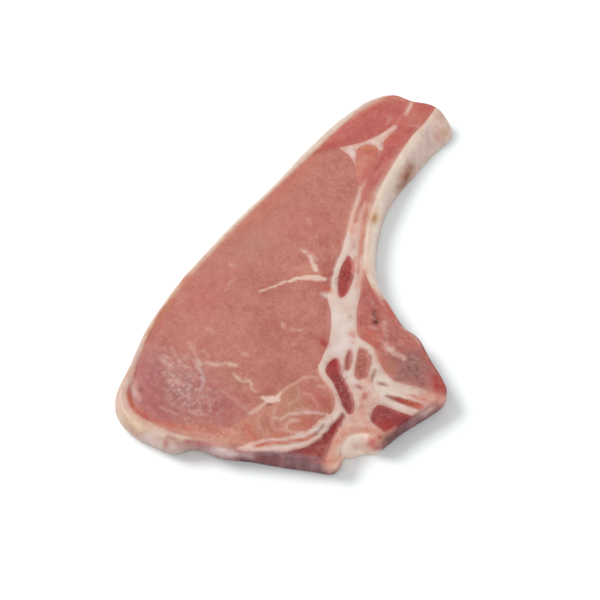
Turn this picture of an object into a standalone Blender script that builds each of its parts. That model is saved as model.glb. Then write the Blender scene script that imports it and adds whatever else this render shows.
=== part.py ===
"""A raw veal chop, cut across the loin so that it keeps half a vertebra, a stub of rib and the flank.

The chop lies flat. One slab with rounded, uneven sides is made from the outline of the cut, and the
seams between muscle, fat, bone and marrow are then cut through it, each a narrow gap that follows
one smooth line. Lengths are drawn in millimetres and turned into metres when a mesh is made.
"""

import math

import bmesh
import bpy
from mathutils import Vector, noise
from mathutils.bvhtree import BVHTree
from mathutils.geometry import intersect_point_line

MM = 0.001
THICKNESS = 13.0
SEAM_GAP = 0.3
EDGE_STEP = 4.0
SEAM_STEP = 2.6
GRID_STEP = 7.0
# The middle of the chop's box on the drawing, which becomes the origin
MIDDLE_X = 19.15
MIDDLE_Y = 10.18

# How round the edges are, and how far the wall bellies out at half its height
TOP_ROUND = 1.5
BOTTOM_ROUND = 1.2
BELLY = 0.35

# Rise and fall of the upper cut face
SWELL = 0.8
SWELL_LENGTH = 40.0
RIPPLE = 0.25
RIPPLE_LENGTH = 13.0
CROWN = 0.5
CROWN_REACH = 6.0
BONE_RISE = 0.25
MARROW_SINK = 0.45

# The upper edge of the chop, anticlockwise from the tip of the flank
OUTLINE = [
    (-2.4, 121.2), (-8.2, 121.6), (-17.2, 118), (-26.8, 115.6), (-34.3, 105.4), (-39.4, 88),
    (-42.1, 66), (-43.6, 38), (-46.3, 10), (-47.5, -16), (-47.6, -27), (-47.3, -38),
    (-45, -58), (-39.6, -78), (-33.6, -93), (-23.8, -100), (-10, -100), (0.6, -98),
    (6, -93.2), (18, -88.6), (33, -79.9), (54, -68.6), (64.7, -64.2), (66, -61),
    (63.2, -51), (67, -44.4), (74.6, -43), (79.4, -28.2), (86.2, -9), (85.6, -3.2),
    (70.3, 5.3), (59.4, 11.2), (51.2, 11.6), (40.6, 16.8), (31.1, 21.5), (22.8, 27.8),
    (14, 38.5), (6.8, 53), (2, 71), (-1, 90), (-2, 103), (-1.2, 116.6),
]

# The wall on the belly cavity's side slopes: how far its foot lies beyond its top, by distance along Y
CAVITY_SLOPE = [(27, 2.8), (36, 3.6), (50, 3.4), (65, 2.7), (76, 4.0), (87, 6.6), (100, 7.8), (112, 8.6)]
SLOPE_FADE = 9.0
# So do the walls of the half canal of the spine, of the sawn spine and of the lowest fat:
# the middle, reach and shift of the foot of each
FOOT_SLOPES = [
    ((66.5, -48.5), 7.5, (4.1, -5.7)),
    ((48, -71), 18.0, (0.7, -1.3)),
    ((-18, -101), 14.0, (-0.2, -1.2)),
]

# The fat on the back swells in soft lumps: middle, reach and height of each
FAT_LUMPS = [
    ((-35, -93), 9.0, 2.4),
    ((-27, -100), 7.0, 2.3),
    ((-14, -101), 6.0, 1.5),
    ((-4, -99), 5.0, 1.0),
    ((2, -97), 4.0, 1.2),
    ((20, -88), 6.0, 0.9),
    ((-46, -60), 9.0, 0.5),
    ((-47.5, -27), 4.0, 0.6),
    ((-32, 108), 8.0, 0.6),
    ((-1, 117), 8.0, 2.2),
    ((-2, 101), 6.0, 0.5),
]

# Points where three pieces meet, shared by the seams that end there
FAT_TIP = (-15.6, 101.4)
FAT_LEFT = (-30.2, 74)
FAT_LOW = (-18.2, 70.6)
FAT_RIGHT = (-10.8, 79.6)
RIM_MEETS_CAP = (-38.5, 63.6)
RIB_TIP = (-8.4, 61.4)
STRIP_END_RIB = (17.4, 22.8)
STRIP_END_CAVITY = (18.9, 25.6)
EYE_MEETS_BONE = (31.4, -29.4)
EYE_MEETS_RIM = (-1, -93.4)

# Open seams, each from one end to the other
SEAMS = {
    "back_fat": [
        (-25, 119), (-31, 106), (-35.6, 90), (-38, 73), RIM_MEETS_CAP, (-41.2, 40), (-43.4, 12),
        (-45, -31), (-42.4, -56), (-36.4, -76), (-29, -90), (-18.6, -95.9), (-6, -94.8),
        EYE_MEETS_RIM, (8, -91), (11, -94.5),
    ],
    "cavity_fat": [
        (-5.4, 125), (-4.4, 110), (-5, 100), (-3.4, 83), (-0.9, 68), (3.2, 54), (9.2, 40.6),
        (15.6, 30), STRIP_END_CAVITY, (27, 19.8), (41, 12.8), (45, 16.5),
    ],
    "cap_top": [(-16.4, 121), (-16.3, 108), FAT_TIP],
    "cap_low": [FAT_LEFT, (-35, 69.2), RIM_MEETS_CAP],
    "lobe_left": [FAT_LOW, (-13.5, 65.4), RIB_TIP],
    "lobe_right": [FAT_RIGHT, (-9.4, 71), RIB_TIP],
    "bone_back": [
        RIB_TIP, (-4, 48), (4.2, 28.5), (8.2, 15.5), (12.8, 6.4), (13, 3.6), (20, -3),
        (27, -14), (30.3, -25), EYE_MEETS_BONE, (35, -32.2), (46, -36.8), (49.8, -44),
        (47.6, -52), (45.8, -60.6), (38, -69.6), (27.6, -79), (23.6, -92),
    ],
    "bone_front": [
        RIB_TIP, (-0.6, 51), (7.6, 38), (14.4, 27.4), STRIP_END_RIB, (24, 15.6), (29.4, 5),
        (37.2, -5), (46, -5.6), (54, -11), (63.4, -13.9), (77, -9.6), (92, -10),
    ],
    "strip_end": [STRIP_END_RIB, STRIP_END_CAVITY],
    "eye": [
        EYE_MEETS_BONE, (27.6, -39), (22.2, -55.4), (20.4, -67), (14, -79.4), (3, -89.6),
        EYE_MEETS_RIM,
    ],
}

# Closed seams, each the outline of one piece; some run out past the edge of the chop
LOOPS = {
    "flank_seam_fat": [
        FAT_TIP, (-18.4, 92), (-23.2, 82.4), FAT_LEFT, (-24.6, 73.4), FAT_LOW, (-20.2, 74.4),
        (-22.5, 78.4), (-19.6, 83.8), (-14.4, 84.6), FAT_RIGHT, (-11.6, 85), (-14.4, 89.4),
    ],
    "rib_marrow": [
        (8.6, 27.2), (11, 26.6), (14.6, 23.2), (18.2, 17), (19.9, 10), (19, 6.2), (16.6, 7.6),
        (12.4, 13.4), (9.2, 21),
    ],
    "lamina_marrow": [
        (35.2, -20.4), (37.4, -20.8), (41.6, -25.2), (52, -31), (57.4, -37.2), (57, -40),
        (54, -39.4), (42, -31.6), (35.4, -28.8), (34, -24.4),
    ],
    "spine_marrow": [
        (55, -42.8), (57.4, -51), (60.8, -60.2), (66, -72), (46, -80), (44, -72.6),
        (51.4, -63), (53.6, -50),
    ],
    "body_marrow": [
        (64.4, -28.6), (74.6, -25.4), (90, -22), (84, -42), (75.6, -38.4), (66, -36.4),
    ],
    "transverse_marrow": [
        (41, -9.8), (44.6, -8.8), (48, -11.4), (51.5, -18.6), (50.6, -23), (47.4, -22.6),
        (43.2, -15.4),
    ],
    "facet_marrow": [
        (37.9, -13.6), (39.8, -14.2), (42.8, -19), (43, -21.8), (41, -21.2), (38.4, -17),
    ],
    "disc_tissue": [(65.4, -21.8), (73.6, -18.6), (81, -16.4), (81, -19.4), (73, -21.6)],
    "canal_lining": [
        (75.6, -41), (67.6, -41.9), (61.5, -50.4), (64.6, -57.4), (72, -61), (83, -50),
    ],
}

# A point inside each piece tells which one it is, and what it is made of
PIECES = {
    "loin_muscle": ((-15, -20), "lean"),
    "cap_muscle": ((-27, 95), "cap_lean"),
    "flank_lobe": ((-16, 77), "pale_lean"),
    "flank_strip": ((-9, 100), "cap_lean"),
    "multifidus_muscle": ((37, -48), "pale_lean"),
    "fillet_muscle": ((55, 3), "dark_lean"),
    "back_fat": ((-20, -98), "fat"),
    "cavity_fat": ((-3, 100), "membrane"),
    "vertebra": ((24, -3), "bone"),
    "flank_seam_fat": ((-16.4, 91), "fat"),
    "rib_marrow": ((14, 17), "marrow"),
    "lamina_marrow": ((45, -31), "marrow"),
    "spine_marrow": ((56, -62), "marrow"),
    "body_marrow": ((71, -32), "marrow"),
    "transverse_marrow": ((47, -16), "pale_marrow"),
    "facet_marrow": ((40.5, -17.6), "pale_marrow"),
    "disc_tissue": ((74, -20), "pale_marrow"),
    "canal_lining": ((62.4, -50.5), "membrane"),
}

# Base colour, roughness
FINISHES = {
    "lean": ((0.50, 0.16, 0.13), 0.45),
    "cap_lean": ((0.47, 0.11, 0.09), 0.45),
    "pale_lean": ((0.53, 0.19, 0.14), 0.45),
    "dark_lean": ((0.40, 0.12, 0.10), 0.45),
    "fat": ((0.80, 0.68, 0.54), 0.5),
    "membrane": ((0.72, 0.56, 0.47), 0.4),
    "bone": ((0.79, 0.66, 0.58), 0.5),
    "marrow": ((0.30, 0.03, 0.03), 0.4),
    "pale_marrow": ((0.38, 0.12, 0.09), 0.45),
}


def heading(before, point, after):
    """The way a line runs through a point, shorter the sharper it turns there."""
    arrive = (point - before).normalized()
    leave = (after - point).normalized()
    return (after - before).normalized() * (1 + arrive.dot(leave)) / 2


def smooth_path(points, closed, step):
    """Points about one step apart on the smooth line through the given ones."""
    places = [Vector(p) for p in points]
    count = len(places)
    headings = []
    for i, place in enumerate(places):
        if closed:
            headings.append(heading(places[i - 1], place, places[(i + 1) % count]))
        elif i == 0:
            headings.append((places[1] - place).normalized())
        elif i == count - 1:
            headings.append((place - places[-2]).normalized())
        else:
            headings.append(heading(places[i - 1], place, places[i + 1]))
    path = []
    for i in range(count if closed else count - 1):
        start, end = places[i], places[(i + 1) % count]
        length = (end - start).length
        leave = headings[i] * length
        arrive = headings[(i + 1) % count] * length
        parts = math.ceil(length / step)
        for k in range(parts):
            t = k / parts
            path.append(
                start * (2 * t**3 - 3 * t**2 + 1)
                + leave * (t**3 - 2 * t**2 + t)
                + end * (3 * t**2 - 2 * t**3)
                + arrive * (t**3 - t**2)
            )
    if not closed:
        path.append(places[-1])
    return path


def outward_normals(path):
    """The direction out of a closed anticlockwise path, at each of its points."""
    normals = []
    for i, point in enumerate(path):
        along = path[(i + 1) % len(path)] - path[i - 1]
        normals.append(Vector((along.y, -along.x)).normalized())
    return normals


def blend(table, at):
    """The value of a table of (place, value) pairs, held past its last pair and none before its first."""
    if at <= table[0][0]:
        return table[0][1] * max(0.0, 1 - (table[0][0] - at) / SLOPE_FADE)
    for (low, first), (high, last) in zip(table, table[1:]):
        if at <= high:
            return first + (last - first) * (at - low) / (high - low)
    return table[-1][1]


def near(point, middle, reach):
    """One at the middle of a lump, fading to nothing around it."""
    return math.exp(-(((point - Vector(middle)).length / reach) ** 2))


def foot_shift(point, normal):
    """How far the foot of the wall lies beyond its top, as a step along X and Y."""
    step = Vector((0, 0))
    for middle, reach, shift in FOOT_SLOPES:
        step += Vector(shift) * near(point, middle, reach)
    if normal.x > 0 and point.y > 0:
        step.x += blend(CAVITY_SLOPE, point.y) * min(1.0, normal.x * 1.6)
    return step


def lump_at(point):
    """How far the soft fat bulges out at a point of the wall."""
    return sum(height * near(point, middle, reach) for middle, reach, height in FAT_LUMPS)


def wall_profile():
    """The wall from its top to its foot: (height, how far it stands in from the outline)."""
    quarter = [math.radians(a) for a in (90, 45, 8)]
    top = [(THICKNESS - TOP_ROUND * (1 - math.sin(a)), TOP_ROUND * (1 - math.cos(a))) for a in quarter]
    foot = [(BOTTOM_ROUND * (1 - math.sin(a)), BOTTOM_ROUND * (1 - math.cos(a))) for a in quarter]
    return top + [(THICKNESS * 0.5, -BELLY)] + foot[::-1]


def add_object(name, mesh, collection):
    made = bpy.data.objects.new(name, mesh)
    collection.objects.link(made)
    return made


def to_metres(x, y, z):
    return ((x - MIDDLE_X) * MM, (y - MIDDLE_Y) * MM, z * MM)


def make_slab(collection):
    """The whole chop in one piece: rings of the outline, one below the other, bridged and closed."""
    path = smooth_path(OUTLINE, True, EDGE_STEP)
    normals = outward_normals(path)
    bm = bmesh.new()
    rings = []
    for height, inset in wall_profile():
        depth = 1 - height / THICKNESS
        middle = math.sin(math.pi * height / THICKNESS)
        ring = []
        for point, normal in zip(path, normals):
            out = lump_at(point) * (0.35 + 0.65 * middle) - inset
            place = point + normal * out + foot_shift(point, normal) * depth
            ring.append(bm.verts.new(to_metres(place.x, place.y, height)))
        rings.append([bm.edges.new((ring[i - 1], ring[i])) for i in range(len(ring))])
        if height in (THICKNESS, 0.0):
            bm.faces.new(ring)
    for upper, lower in zip(rings, rings[1:]):
        bmesh.ops.bridge_loops(bm, edges=upper + lower)
    bmesh.ops.recalc_face_normals(bm, faces=bm.faces)
    cut_into_grid(bm)
    mesh = bpy.data.meshes.new("slab")
    bm.to_mesh(mesh)
    bm.free()
    return add_object("slab", mesh, collection)


def cut_into_grid(bm):
    """Cuts the upper face into squares, so that it can rise and fall."""
    top = THICKNESS * MM
    for axis in (Vector((1, 0, 0)), Vector((0, 1, 0))):
        reach = max(abs(v.co.dot(axis)) for v in bm.verts)
        steps = int(reach / (GRID_STEP * MM))
        for k in range(-steps, steps + 1):
            faces = [f for f in bm.faces if all(abs(v.co.z - top) < 1e-6 for v in f.verts)]
            edges = {e for f in faces for e in f.edges}
            corners = {v for f in faces for v in f.verts}
            bmesh.ops.bisect_plane(
                bm,
                geom=faces + list(edges) + list(corners),
                plane_co=axis * (k * GRID_STEP * MM),
                plane_no=axis,
                dist=1e-7,
            )
    bmesh.ops.triangulate(bm, faces=bm.faces)


def make_cutter(name, points, closed, collection):
    """A thin upright wall along a seam, which is cut out of the slab."""
    path = smooth_path(points, closed, SEAM_STEP)
    bm = bmesh.new()
    line = [bm.verts.new(to_metres(p.x, p.y, -THICKNESS)) for p in path]
    edges = [bm.edges.new(pair) for pair in zip(line, line[1:])]
    if closed:
        edges.append(bm.edges.new((line[-1], line[0])))
    raised = bmesh.ops.extrude_edge_only(bm, edges=edges)["geom"]
    for vert in [v for v in raised if isinstance(v, bmesh.types.BMVert)]:
        vert.co.z = 2 * THICKNESS * MM
    bmesh.ops.recalc_face_normals(bm, faces=bm.faces)
    mesh = bpy.data.meshes.new(name)
    bm.to_mesh(mesh)
    bm.free()
    cutter = add_object(name, mesh, collection)
    cutter.hide_render = True
    cutter.display_type = "WIRE"
    wall = cutter.modifiers.new("gap", "SOLIDIFY")
    wall.thickness = SEAM_GAP * MM
    wall.offset = 0
    return cutter


def cut_seams(slab, cutters):
    """Cuts every seam out of the slab. The exact solver leaves open edges where three of them meet."""
    for cutter in cutters:
        cut = slab.modifiers.new(cutter.name, "BOOLEAN")
        cut.operation = "DIFFERENCE"
        cut.solver = "MANIFOLD"
        cut.object = cutter
    depsgraph = bpy.context.evaluated_depsgraph_get()
    mesh = bpy.data.meshes.new_from_object(slab.evaluated_get(depsgraph))
    slab.modifiers.clear()
    slab.data = mesh


def island_of(bm, face):
    """The faces joined to one face by shared edges."""
    found = {face}
    waiting = [face]
    while waiting:
        for edge in waiting.pop().edges:
            for other in edge.link_faces:
                if other not in found:
                    found.add(other)
                    waiting.append(other)
    return found


def split_pieces(slab, collection):
    """Makes an object of the solid under each piece's marker. Scraps between two seams are dropped."""
    pieces = []
    for name, (marker, finish) in PIECES.items():
        bm = bmesh.new()
        bm.from_mesh(slab.data)
        above = Vector(to_metres(*marker, 3 * THICKNESS))
        bm.faces.ensure_lookup_table()
        index = BVHTree.FromBMesh(bm).ray_cast(above, Vector((0, 0, -1)))[2]
        keep = island_of(bm, bm.faces[index])
        bmesh.ops.delete(bm, geom=[f for f in bm.faces if f not in keep], context="FACES")
        mesh = bpy.data.meshes.new(name)
        bm.to_mesh(mesh)
        bm.free()
        piece = add_object(name, mesh, collection)
        piece.data.materials.append(material(finish))
        pieces.append((piece, finish))
    return pieces


def seam_segments():
    """Every seam as straight steps, to measure how near a point is to one."""
    segments = []
    for points in SEAMS.values():
        path = smooth_path(points, False, SEAM_STEP)
        segments += list(zip(path, path[1:]))
    path = smooth_path(LOOPS["flank_seam_fat"], True, SEAM_STEP)
    return segments + list(zip(path, path[1:] + path[:1]))


def distance_to(segments, point):
    nearest = 1e9
    for start, end in segments:
        foot, share = intersect_point_line(point, start, end)
        share = min(max(share, 0.0), 1.0)
        nearest = min(nearest, (point - start.lerp(end, share)).length)
    return nearest


def rise_at(point, finish, segments):
    """How far the cut face stands above or below its mean height."""
    place = Vector((point.x, point.y, 0))
    rise = SWELL * noise.noise(place / SWELL_LENGTH) + RIPPLE * noise.noise(place / RIPPLE_LENGTH)
    if finish in ("marrow", "pale_marrow"):
        return rise - MARROW_SINK
    if finish == "bone":
        return rise + BONE_RISE
    away = distance_to(segments, point)
    return rise + CROWN * (1 - math.exp(-away / CROWN_REACH)) - CROWN / 2


def raise_face(piece, finish, segments):
    """Lets the upper face rise and fall. The wall follows in proportion, and the foot stays flat."""
    known = {}
    for vert in piece.data.vertices:
        if vert.co.z < 1e-6:
            continue
        flat = Vector((vert.co.x / MM + MIDDLE_X, vert.co.y / MM + MIDDLE_Y))
        key = (round(flat.x, 2), round(flat.y, 2))
        if key not in known:
            known[key] = rise_at(flat, finish, segments)
        share = vert.co.z / (THICKNESS * MM)
        vert.co.z += known[key] * MM * share**2


def material(name):
    if name in bpy.data.materials:
        return bpy.data.materials[name]
    colour, roughness = FINISHES[name]
    made = bpy.data.materials.new(name)
    made.use_nodes = True
    shader = made.node_tree.nodes["Principled BSDF"]
    shader.inputs["Base Color"].default_value = (*colour, 1)
    shader.inputs["Roughness"].default_value = roughness
    return made


def main():
    for old in list(bpy.data.objects):
        bpy.data.objects.remove(old)
    chop = bpy.data.collections.new("veal_chop")
    cutting = bpy.data.collections.new("seams")
    for collection in (chop, cutting):
        bpy.context.scene.collection.children.link(collection)

    slab = make_slab(cutting)
    cutters = [make_cutter("seam_" + n, p, False, cutting) for n, p in SEAMS.items()]
    cutters += [make_cutter("loop_" + n, p, True, cutting) for n, p in LOOPS.items()]
    cut_seams(slab, cutters)
    segments = seam_segments()
    for piece, finish in split_pieces(slab, chop):
        raise_face(piece, finish, segments)
    bpy.data.objects.remove(slab)


main()
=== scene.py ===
import math

import bpy
import numpy as np
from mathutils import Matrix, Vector, noise


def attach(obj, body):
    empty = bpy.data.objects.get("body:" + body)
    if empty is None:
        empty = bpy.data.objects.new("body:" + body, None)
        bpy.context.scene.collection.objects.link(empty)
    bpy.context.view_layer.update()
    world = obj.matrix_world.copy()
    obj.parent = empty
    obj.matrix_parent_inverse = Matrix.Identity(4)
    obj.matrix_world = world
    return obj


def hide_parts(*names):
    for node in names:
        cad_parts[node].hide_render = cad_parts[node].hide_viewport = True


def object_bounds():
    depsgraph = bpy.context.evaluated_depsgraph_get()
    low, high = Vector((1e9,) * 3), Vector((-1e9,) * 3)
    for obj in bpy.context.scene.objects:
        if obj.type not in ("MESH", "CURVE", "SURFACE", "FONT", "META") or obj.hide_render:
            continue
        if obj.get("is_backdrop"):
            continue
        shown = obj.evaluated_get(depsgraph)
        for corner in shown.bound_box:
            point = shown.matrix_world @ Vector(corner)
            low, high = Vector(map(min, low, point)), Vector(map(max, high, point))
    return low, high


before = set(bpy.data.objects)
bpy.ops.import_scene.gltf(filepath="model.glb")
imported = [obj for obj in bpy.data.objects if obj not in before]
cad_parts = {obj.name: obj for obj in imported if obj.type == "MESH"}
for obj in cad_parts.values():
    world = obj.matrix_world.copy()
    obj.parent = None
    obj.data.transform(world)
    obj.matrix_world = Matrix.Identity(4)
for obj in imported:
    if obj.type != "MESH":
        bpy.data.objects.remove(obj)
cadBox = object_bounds()

# Places on the cut face are in millimetres, from a point near the middle of the chop
mm = 0.001
middle = (19.15, 10.18)


def toMetres(x, y, z):
    return ((x - middle[0]) * mm, (y - middle[1]) * mm, z * mm)


def colour(red, green, blue):
    # Written as seen on a screen, 0 to 255, and used as linear light
    shares = [part / 255 for part in (red, green, blue)]
    linear = [s / 12.92 if s <= 0.04045 else ((s + 0.055) / 1.055) ** 2.4 for s in shares]
    return (*linear, 1.0)


def selectOnly(*objects):
    bpy.ops.object.select_all(action="DESELECT")
    for obj in objects:
        obj.select_set(True)
    bpy.context.view_layer.objects.active = objects[0]


# The view and the studio

# Degrees, metres and millimetres
view = {"turn": 36, "height": 62, "distance": 0.9, "lens": 113.4, "sensor": 36}


def makeCamera():
    turn, height = math.radians(view["turn"]), math.radians(view["height"])
    back = Vector((math.sin(turn) * math.cos(height), -math.cos(turn) * math.cos(height), math.sin(height)))
    bpy.ops.object.camera_add(location=Vector(toMetres(0, 0, 0)) + back * view["distance"])
    camera = bpy.context.object
    camera.name = "camera"
    camera.rotation_euler = back.to_track_quat("Z", "Y").to_euler()
    camera.data.lens = view["lens"]
    camera.data.sensor_width = view["sensor"]
    bpy.context.scene.camera = camera


makeCamera()
print("camera placed")

studio = {
    "floorSize": 6,
    "floorColour": (240, 246, 248),
    "floorRoughness": 0.9,
    "sky": (255, 255, 255),
    "skyStrength": 0.76,
    "keyPlace": (-1.67, -0.24, 1.87),
    "keySize": 1.2,
    "keyPower": 46.5,
    "keyColour": (255, 253, 250),
    # How brightly the light falls on a level surface and on a wall in the shade, on a lit wall at
    # most, and what the softbox adds to a surface that faces it
    "light": 1.22,
    "shade": 0.8,
    "litWall": 1.2,
    "keyShare": 0.62,
    "sheen": 0.045,
    "darkest": 0.004,  # no surface reflects less than this
}


def asSeen(red, green, blue, light=None):
    # The surface colour that looks like this one in the studio's light
    light = light or studio["light"]
    parts = [(part - studio["sheen"]) / light for part in colour(red, green, blue)[:3]]
    return (*(max(part, studio["darkest"]) for part in parts), 1.0)


def makeStudio():
    bpy.ops.mesh.primitive_plane_add(size=studio["floorSize"])
    floor = bpy.context.object
    floor.name = "floor"
    paper = bpy.data.materials.new("paper")
    paper.use_nodes = True
    shader = paper.node_tree.nodes["Principled BSDF"]
    shader.inputs["Base Color"].default_value = colour(*studio["floorColour"])
    shader.inputs["Roughness"].default_value = studio["floorRoughness"]
    shader.inputs["Specular IOR Level"].default_value = 0.0
    floor.data.materials.append(paper)
    floor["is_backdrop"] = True

    world = bpy.data.worlds.new("studio")
    world.use_nodes = True
    sky = world.node_tree.nodes["Background"]
    sky.inputs["Color"].default_value = colour(*studio["sky"])
    sky.inputs["Strength"].default_value = studio["skyStrength"]
    bpy.context.scene.world = world

    place = Vector(studio["keyPlace"])
    bpy.ops.object.light_add(type="AREA", location=place)
    key = bpy.context.object
    key.name = "softbox"
    key.rotation_euler = place.to_track_quat("Z", "Y").to_euler()
    key.data.shape = "DISK"
    key.data.size = studio["keySize"]
    key.data.energy = studio["keyPower"]
    key.data.color = colour(*studio["keyColour"])[:3]
    bpy.context.scene.view_settings.view_transform = "Standard"


makeStudio()
print("studio lit")

# The whole chop, before it is cut along its seams

slab = {
    "thickness": 13.0,
    "outline": [
        (-2.4, 121.2), (-8.2, 121.6), (-17.2, 118), (-26.8, 115.6), (-34.3, 105.4), (-39.4, 88),
        (-42.1, 66), (-43.6, 38), (-46.3, 10), (-47.5, -16), (-47.6, -27), (-47.3, -38),
        (-45, -58), (-39.6, -78), (-33.6, -93), (-23.8, -100), (-10, -100), (0.6, -98),
        (6, -93.2), (18, -88.6), (33, -79.9), (54, -68.6), (64.7, -64.2), (66, -61),
        (63.2, -51), (67, -44.4), (74.6, -43), (79.4, -28.2), (86.2, -9), (85.6, -3.2),
        (70.3, 5.3), (59.4, 11.2), (51.2, 11.6), (40.6, 16.8), (31.1, 21.5), (22.8, 27.8),
        (14, 38.5), (6.8, 53), (2, 71), (-1, 90), (-2, 103), (-1.2, 116.6),
    ],
    "outlineStep": 1.2,
    "square": 0.6,  # side of the small squares of both cut faces
    "sheet": (142, 232),  # they fill a sheet of this size, and the outline is cut from it
    "topRound": 1.5,
    "bottomRound": 1.2,
    "roundAngles": (65, 42, 20),
    # The first and last rings stand clear of the cut faces, and further in than the rounds
    "clearAbove": 0.14,
    "clearBelow": 0.19,
    "clearInset": 1.42,
    "belly": 0.35,
    "bellyHeights": (0.75, 0.62, 0.5, 0.36, 0.24),
    # How far the wall's foot lies beyond its top on the belly cavity's side, by distance along Y
    "cavitySlope": [
        (27, 2.8), (36, 3.6), (50, 3.4), (65, 2.7), (76, 4.0), (87, 6.6), (100, 7.8), (112, 8.6),
    ],
    "slopeFade": 9.0,
    "slopeTurn": 1.6,  # how soon the slope is full as the wall turns to face that side
    # The same in the half canal of the spine, on the sawn spine and on the lowest fat: middle, reach, shift
    "footSlopes": [
        ((66.5, -48.5), 7.5, (4.1, -5.7)),
        ((63.8, -55.2), 5.5, (-1.2, 3.0)),
        ((48, -71), 18.0, (0.7, -1.3)),
        ((-18, -101), 14.0, (-0.2, -1.2)),
        ((10.5, -90.5), 9.0, (-0.5, 1.4)),
    ],
    # Lumps of soft fat on the wall: middle, reach, height
    "fatLumps": [
        ((-35, -93), 9.0, 2.4), ((-27, -100), 7.0, 2.3), ((-14, -101), 6.0, 1.5), ((-4, -99), 5.0, 1.0),
        ((2, -97), 4.0, 1.2), ((20, -88), 6.0, 0.9), ((-46, -60), 9.0, 0.5), ((-47.5, -27), 4.0, 0.6),
        ((-32, 108), 8.0, 0.6), ((-1, 117), 8.0, 1.7), ((-2, 101), 6.0, 0.5),
    ],
    "lumpEnds": 0.35,  # share of a lump that is left at the top and at the foot of the wall
    # Soft unevenness of the wall: its height, and its lengths along and up the wall
    "uneven": (0.35, 5, 6),
}


def headingAt(before, point, after):
    # A line's direction through a point, shorter the sharper it turns
    arrive, leave = (point - before).normalized(), (after - point).normalized()
    return (after - before).normalized() * (1 + arrive.dot(leave)) / 2


def smoothPath(points, closed, step):
    places = [Vector(p) for p in points]
    count = len(places)
    headings = []
    for i, place in enumerate(places):
        if closed:
            headings.append(headingAt(places[i - 1], place, places[(i + 1) % count]))
        elif i == 0:
            headings.append((places[1] - place).normalized())
        elif i == count - 1:
            headings.append((place - places[-2]).normalized())
        else:
            headings.append(headingAt(places[i - 1], place, places[i + 1]))
    path = []
    for i in range(count if closed else count - 1):
        start, end = places[i], places[(i + 1) % count]
        length = (end - start).length
        leave, arrive = headings[i] * length, headings[(i + 1) % count] * length
        parts = math.ceil(length / step)
        for k in range(parts):
            t = k / parts
            path.append(
                start * (2 * t**3 - 3 * t**2 + 1)
                + leave * (t**3 - 2 * t**2 + t)
                + end * (3 * t**2 - 2 * t**3)
                + arrive * (t**3 - t**2)
            )
    if not closed:
        path.append(places[-1])
    return path


def nearness(point, centre, reach):
    return math.exp(-(((point - Vector(centre)).length / reach) ** 2))


def footShift(point, normal):
    step = Vector((0, 0))
    for centre, reach, shift in slab["footSlopes"]:
        step += Vector(shift) * nearness(point, centre, reach)
    if normal.x > 0 and point.y > 0:
        places = [y for y, out in slab["cavitySlope"]]
        outs = [out for y, out in slab["cavitySlope"]]
        fade = max(0.0, 1 - max(0.0, places[0] - point.y) / slab["slopeFade"])
        turned = min(1.0, normal.x * slab["slopeTurn"])
        step.x += float(np.interp(point.y, places, outs)) * fade * turned
    return step


def wallProfile():
    # Height and inset of each ring, from just above the upper face to just below the lower one
    thickness, top, foot = slab["thickness"], slab["topRound"], slab["bottomRound"]
    angles = [math.radians(angle) for angle in slab["roundAngles"]]
    upper = [(thickness - top * (1 - math.sin(a)), top * (1 - math.cos(a))) for a in angles]
    lower = [(foot * (1 - math.sin(a)), foot * (1 - math.cos(a))) for a in reversed(angles)]
    waist = [(thickness * share, -slab["belly"] * (1 - abs(2 * share - 1))) for share in slab["bellyHeights"]]
    first = (thickness + slab["clearAbove"], top * slab["clearInset"])
    last = (-slab["clearBelow"], foot * slab["clearInset"])
    return [first, *upper, *waist, *lower, last]


def ringPath(height, inset):
    path = smoothPath(slab["outline"], True, slab["outlineStep"])
    depth = 1 - height / slab["thickness"]
    lumpShare = slab["lumpEnds"] + (1 - slab["lumpEnds"]) * math.sin(math.pi * min(max(1 - depth, 0), 1))
    rough, along, upright = slab["uneven"]
    ring = []
    for i, point in enumerate(path):
        ahead = path[(i + 1) % len(path)] - path[i - 1]
        normal = Vector((ahead.y, -ahead.x)).normalized()
        lumps = sum(rise * nearness(point, centre, reach) for centre, reach, rise in slab["fatLumps"])
        lumps += rough * noise.noise(Vector((point.x / along, point.y / along, height / upright)))
        ring.append(point + normal * (lumps * lumpShare - inset) + footShift(point, normal) * depth)
    for _ in range(2):  # irons out the kinks that the shifts leave
        ring = [(ring[i - 1] + place * 2 + ring[(i + 1) % len(ring)]) / 4 for i, place in enumerate(ring)]
    return ring


def selectHeights(obj, heights):
    # Selects the rings that stand at these heights, and nothing else
    mesh = obj.data
    same = 1e-6
    chosen = [any(abs(v.co.z - z * mm) < same for z in heights) for v in mesh.vertices]
    for face in mesh.polygons:
        face.select = False
    for edge in mesh.edges:
        edge.select = chosen[edge.vertices[0]] and chosen[edge.vertices[1]]
    for vert, pick in zip(mesh.vertices, chosen):
        vert.select = pick


def inEditMode(step):
    bpy.ops.object.mode_set(mode="EDIT")
    step()
    bpy.ops.object.mode_set(mode="OBJECT")


def faceOutwards():
    bpy.ops.mesh.select_all(action="SELECT")
    bpy.ops.mesh.normals_make_consistent(inside=False)


def thicken(obj, thickness, offset):
    skin = obj.modifiers.new("thickness", "SOLIDIFY")
    skin.thickness = thickness * mm
    skin.offset = offset
    bpy.ops.object.modifier_apply(modifier=skin.name)


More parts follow.
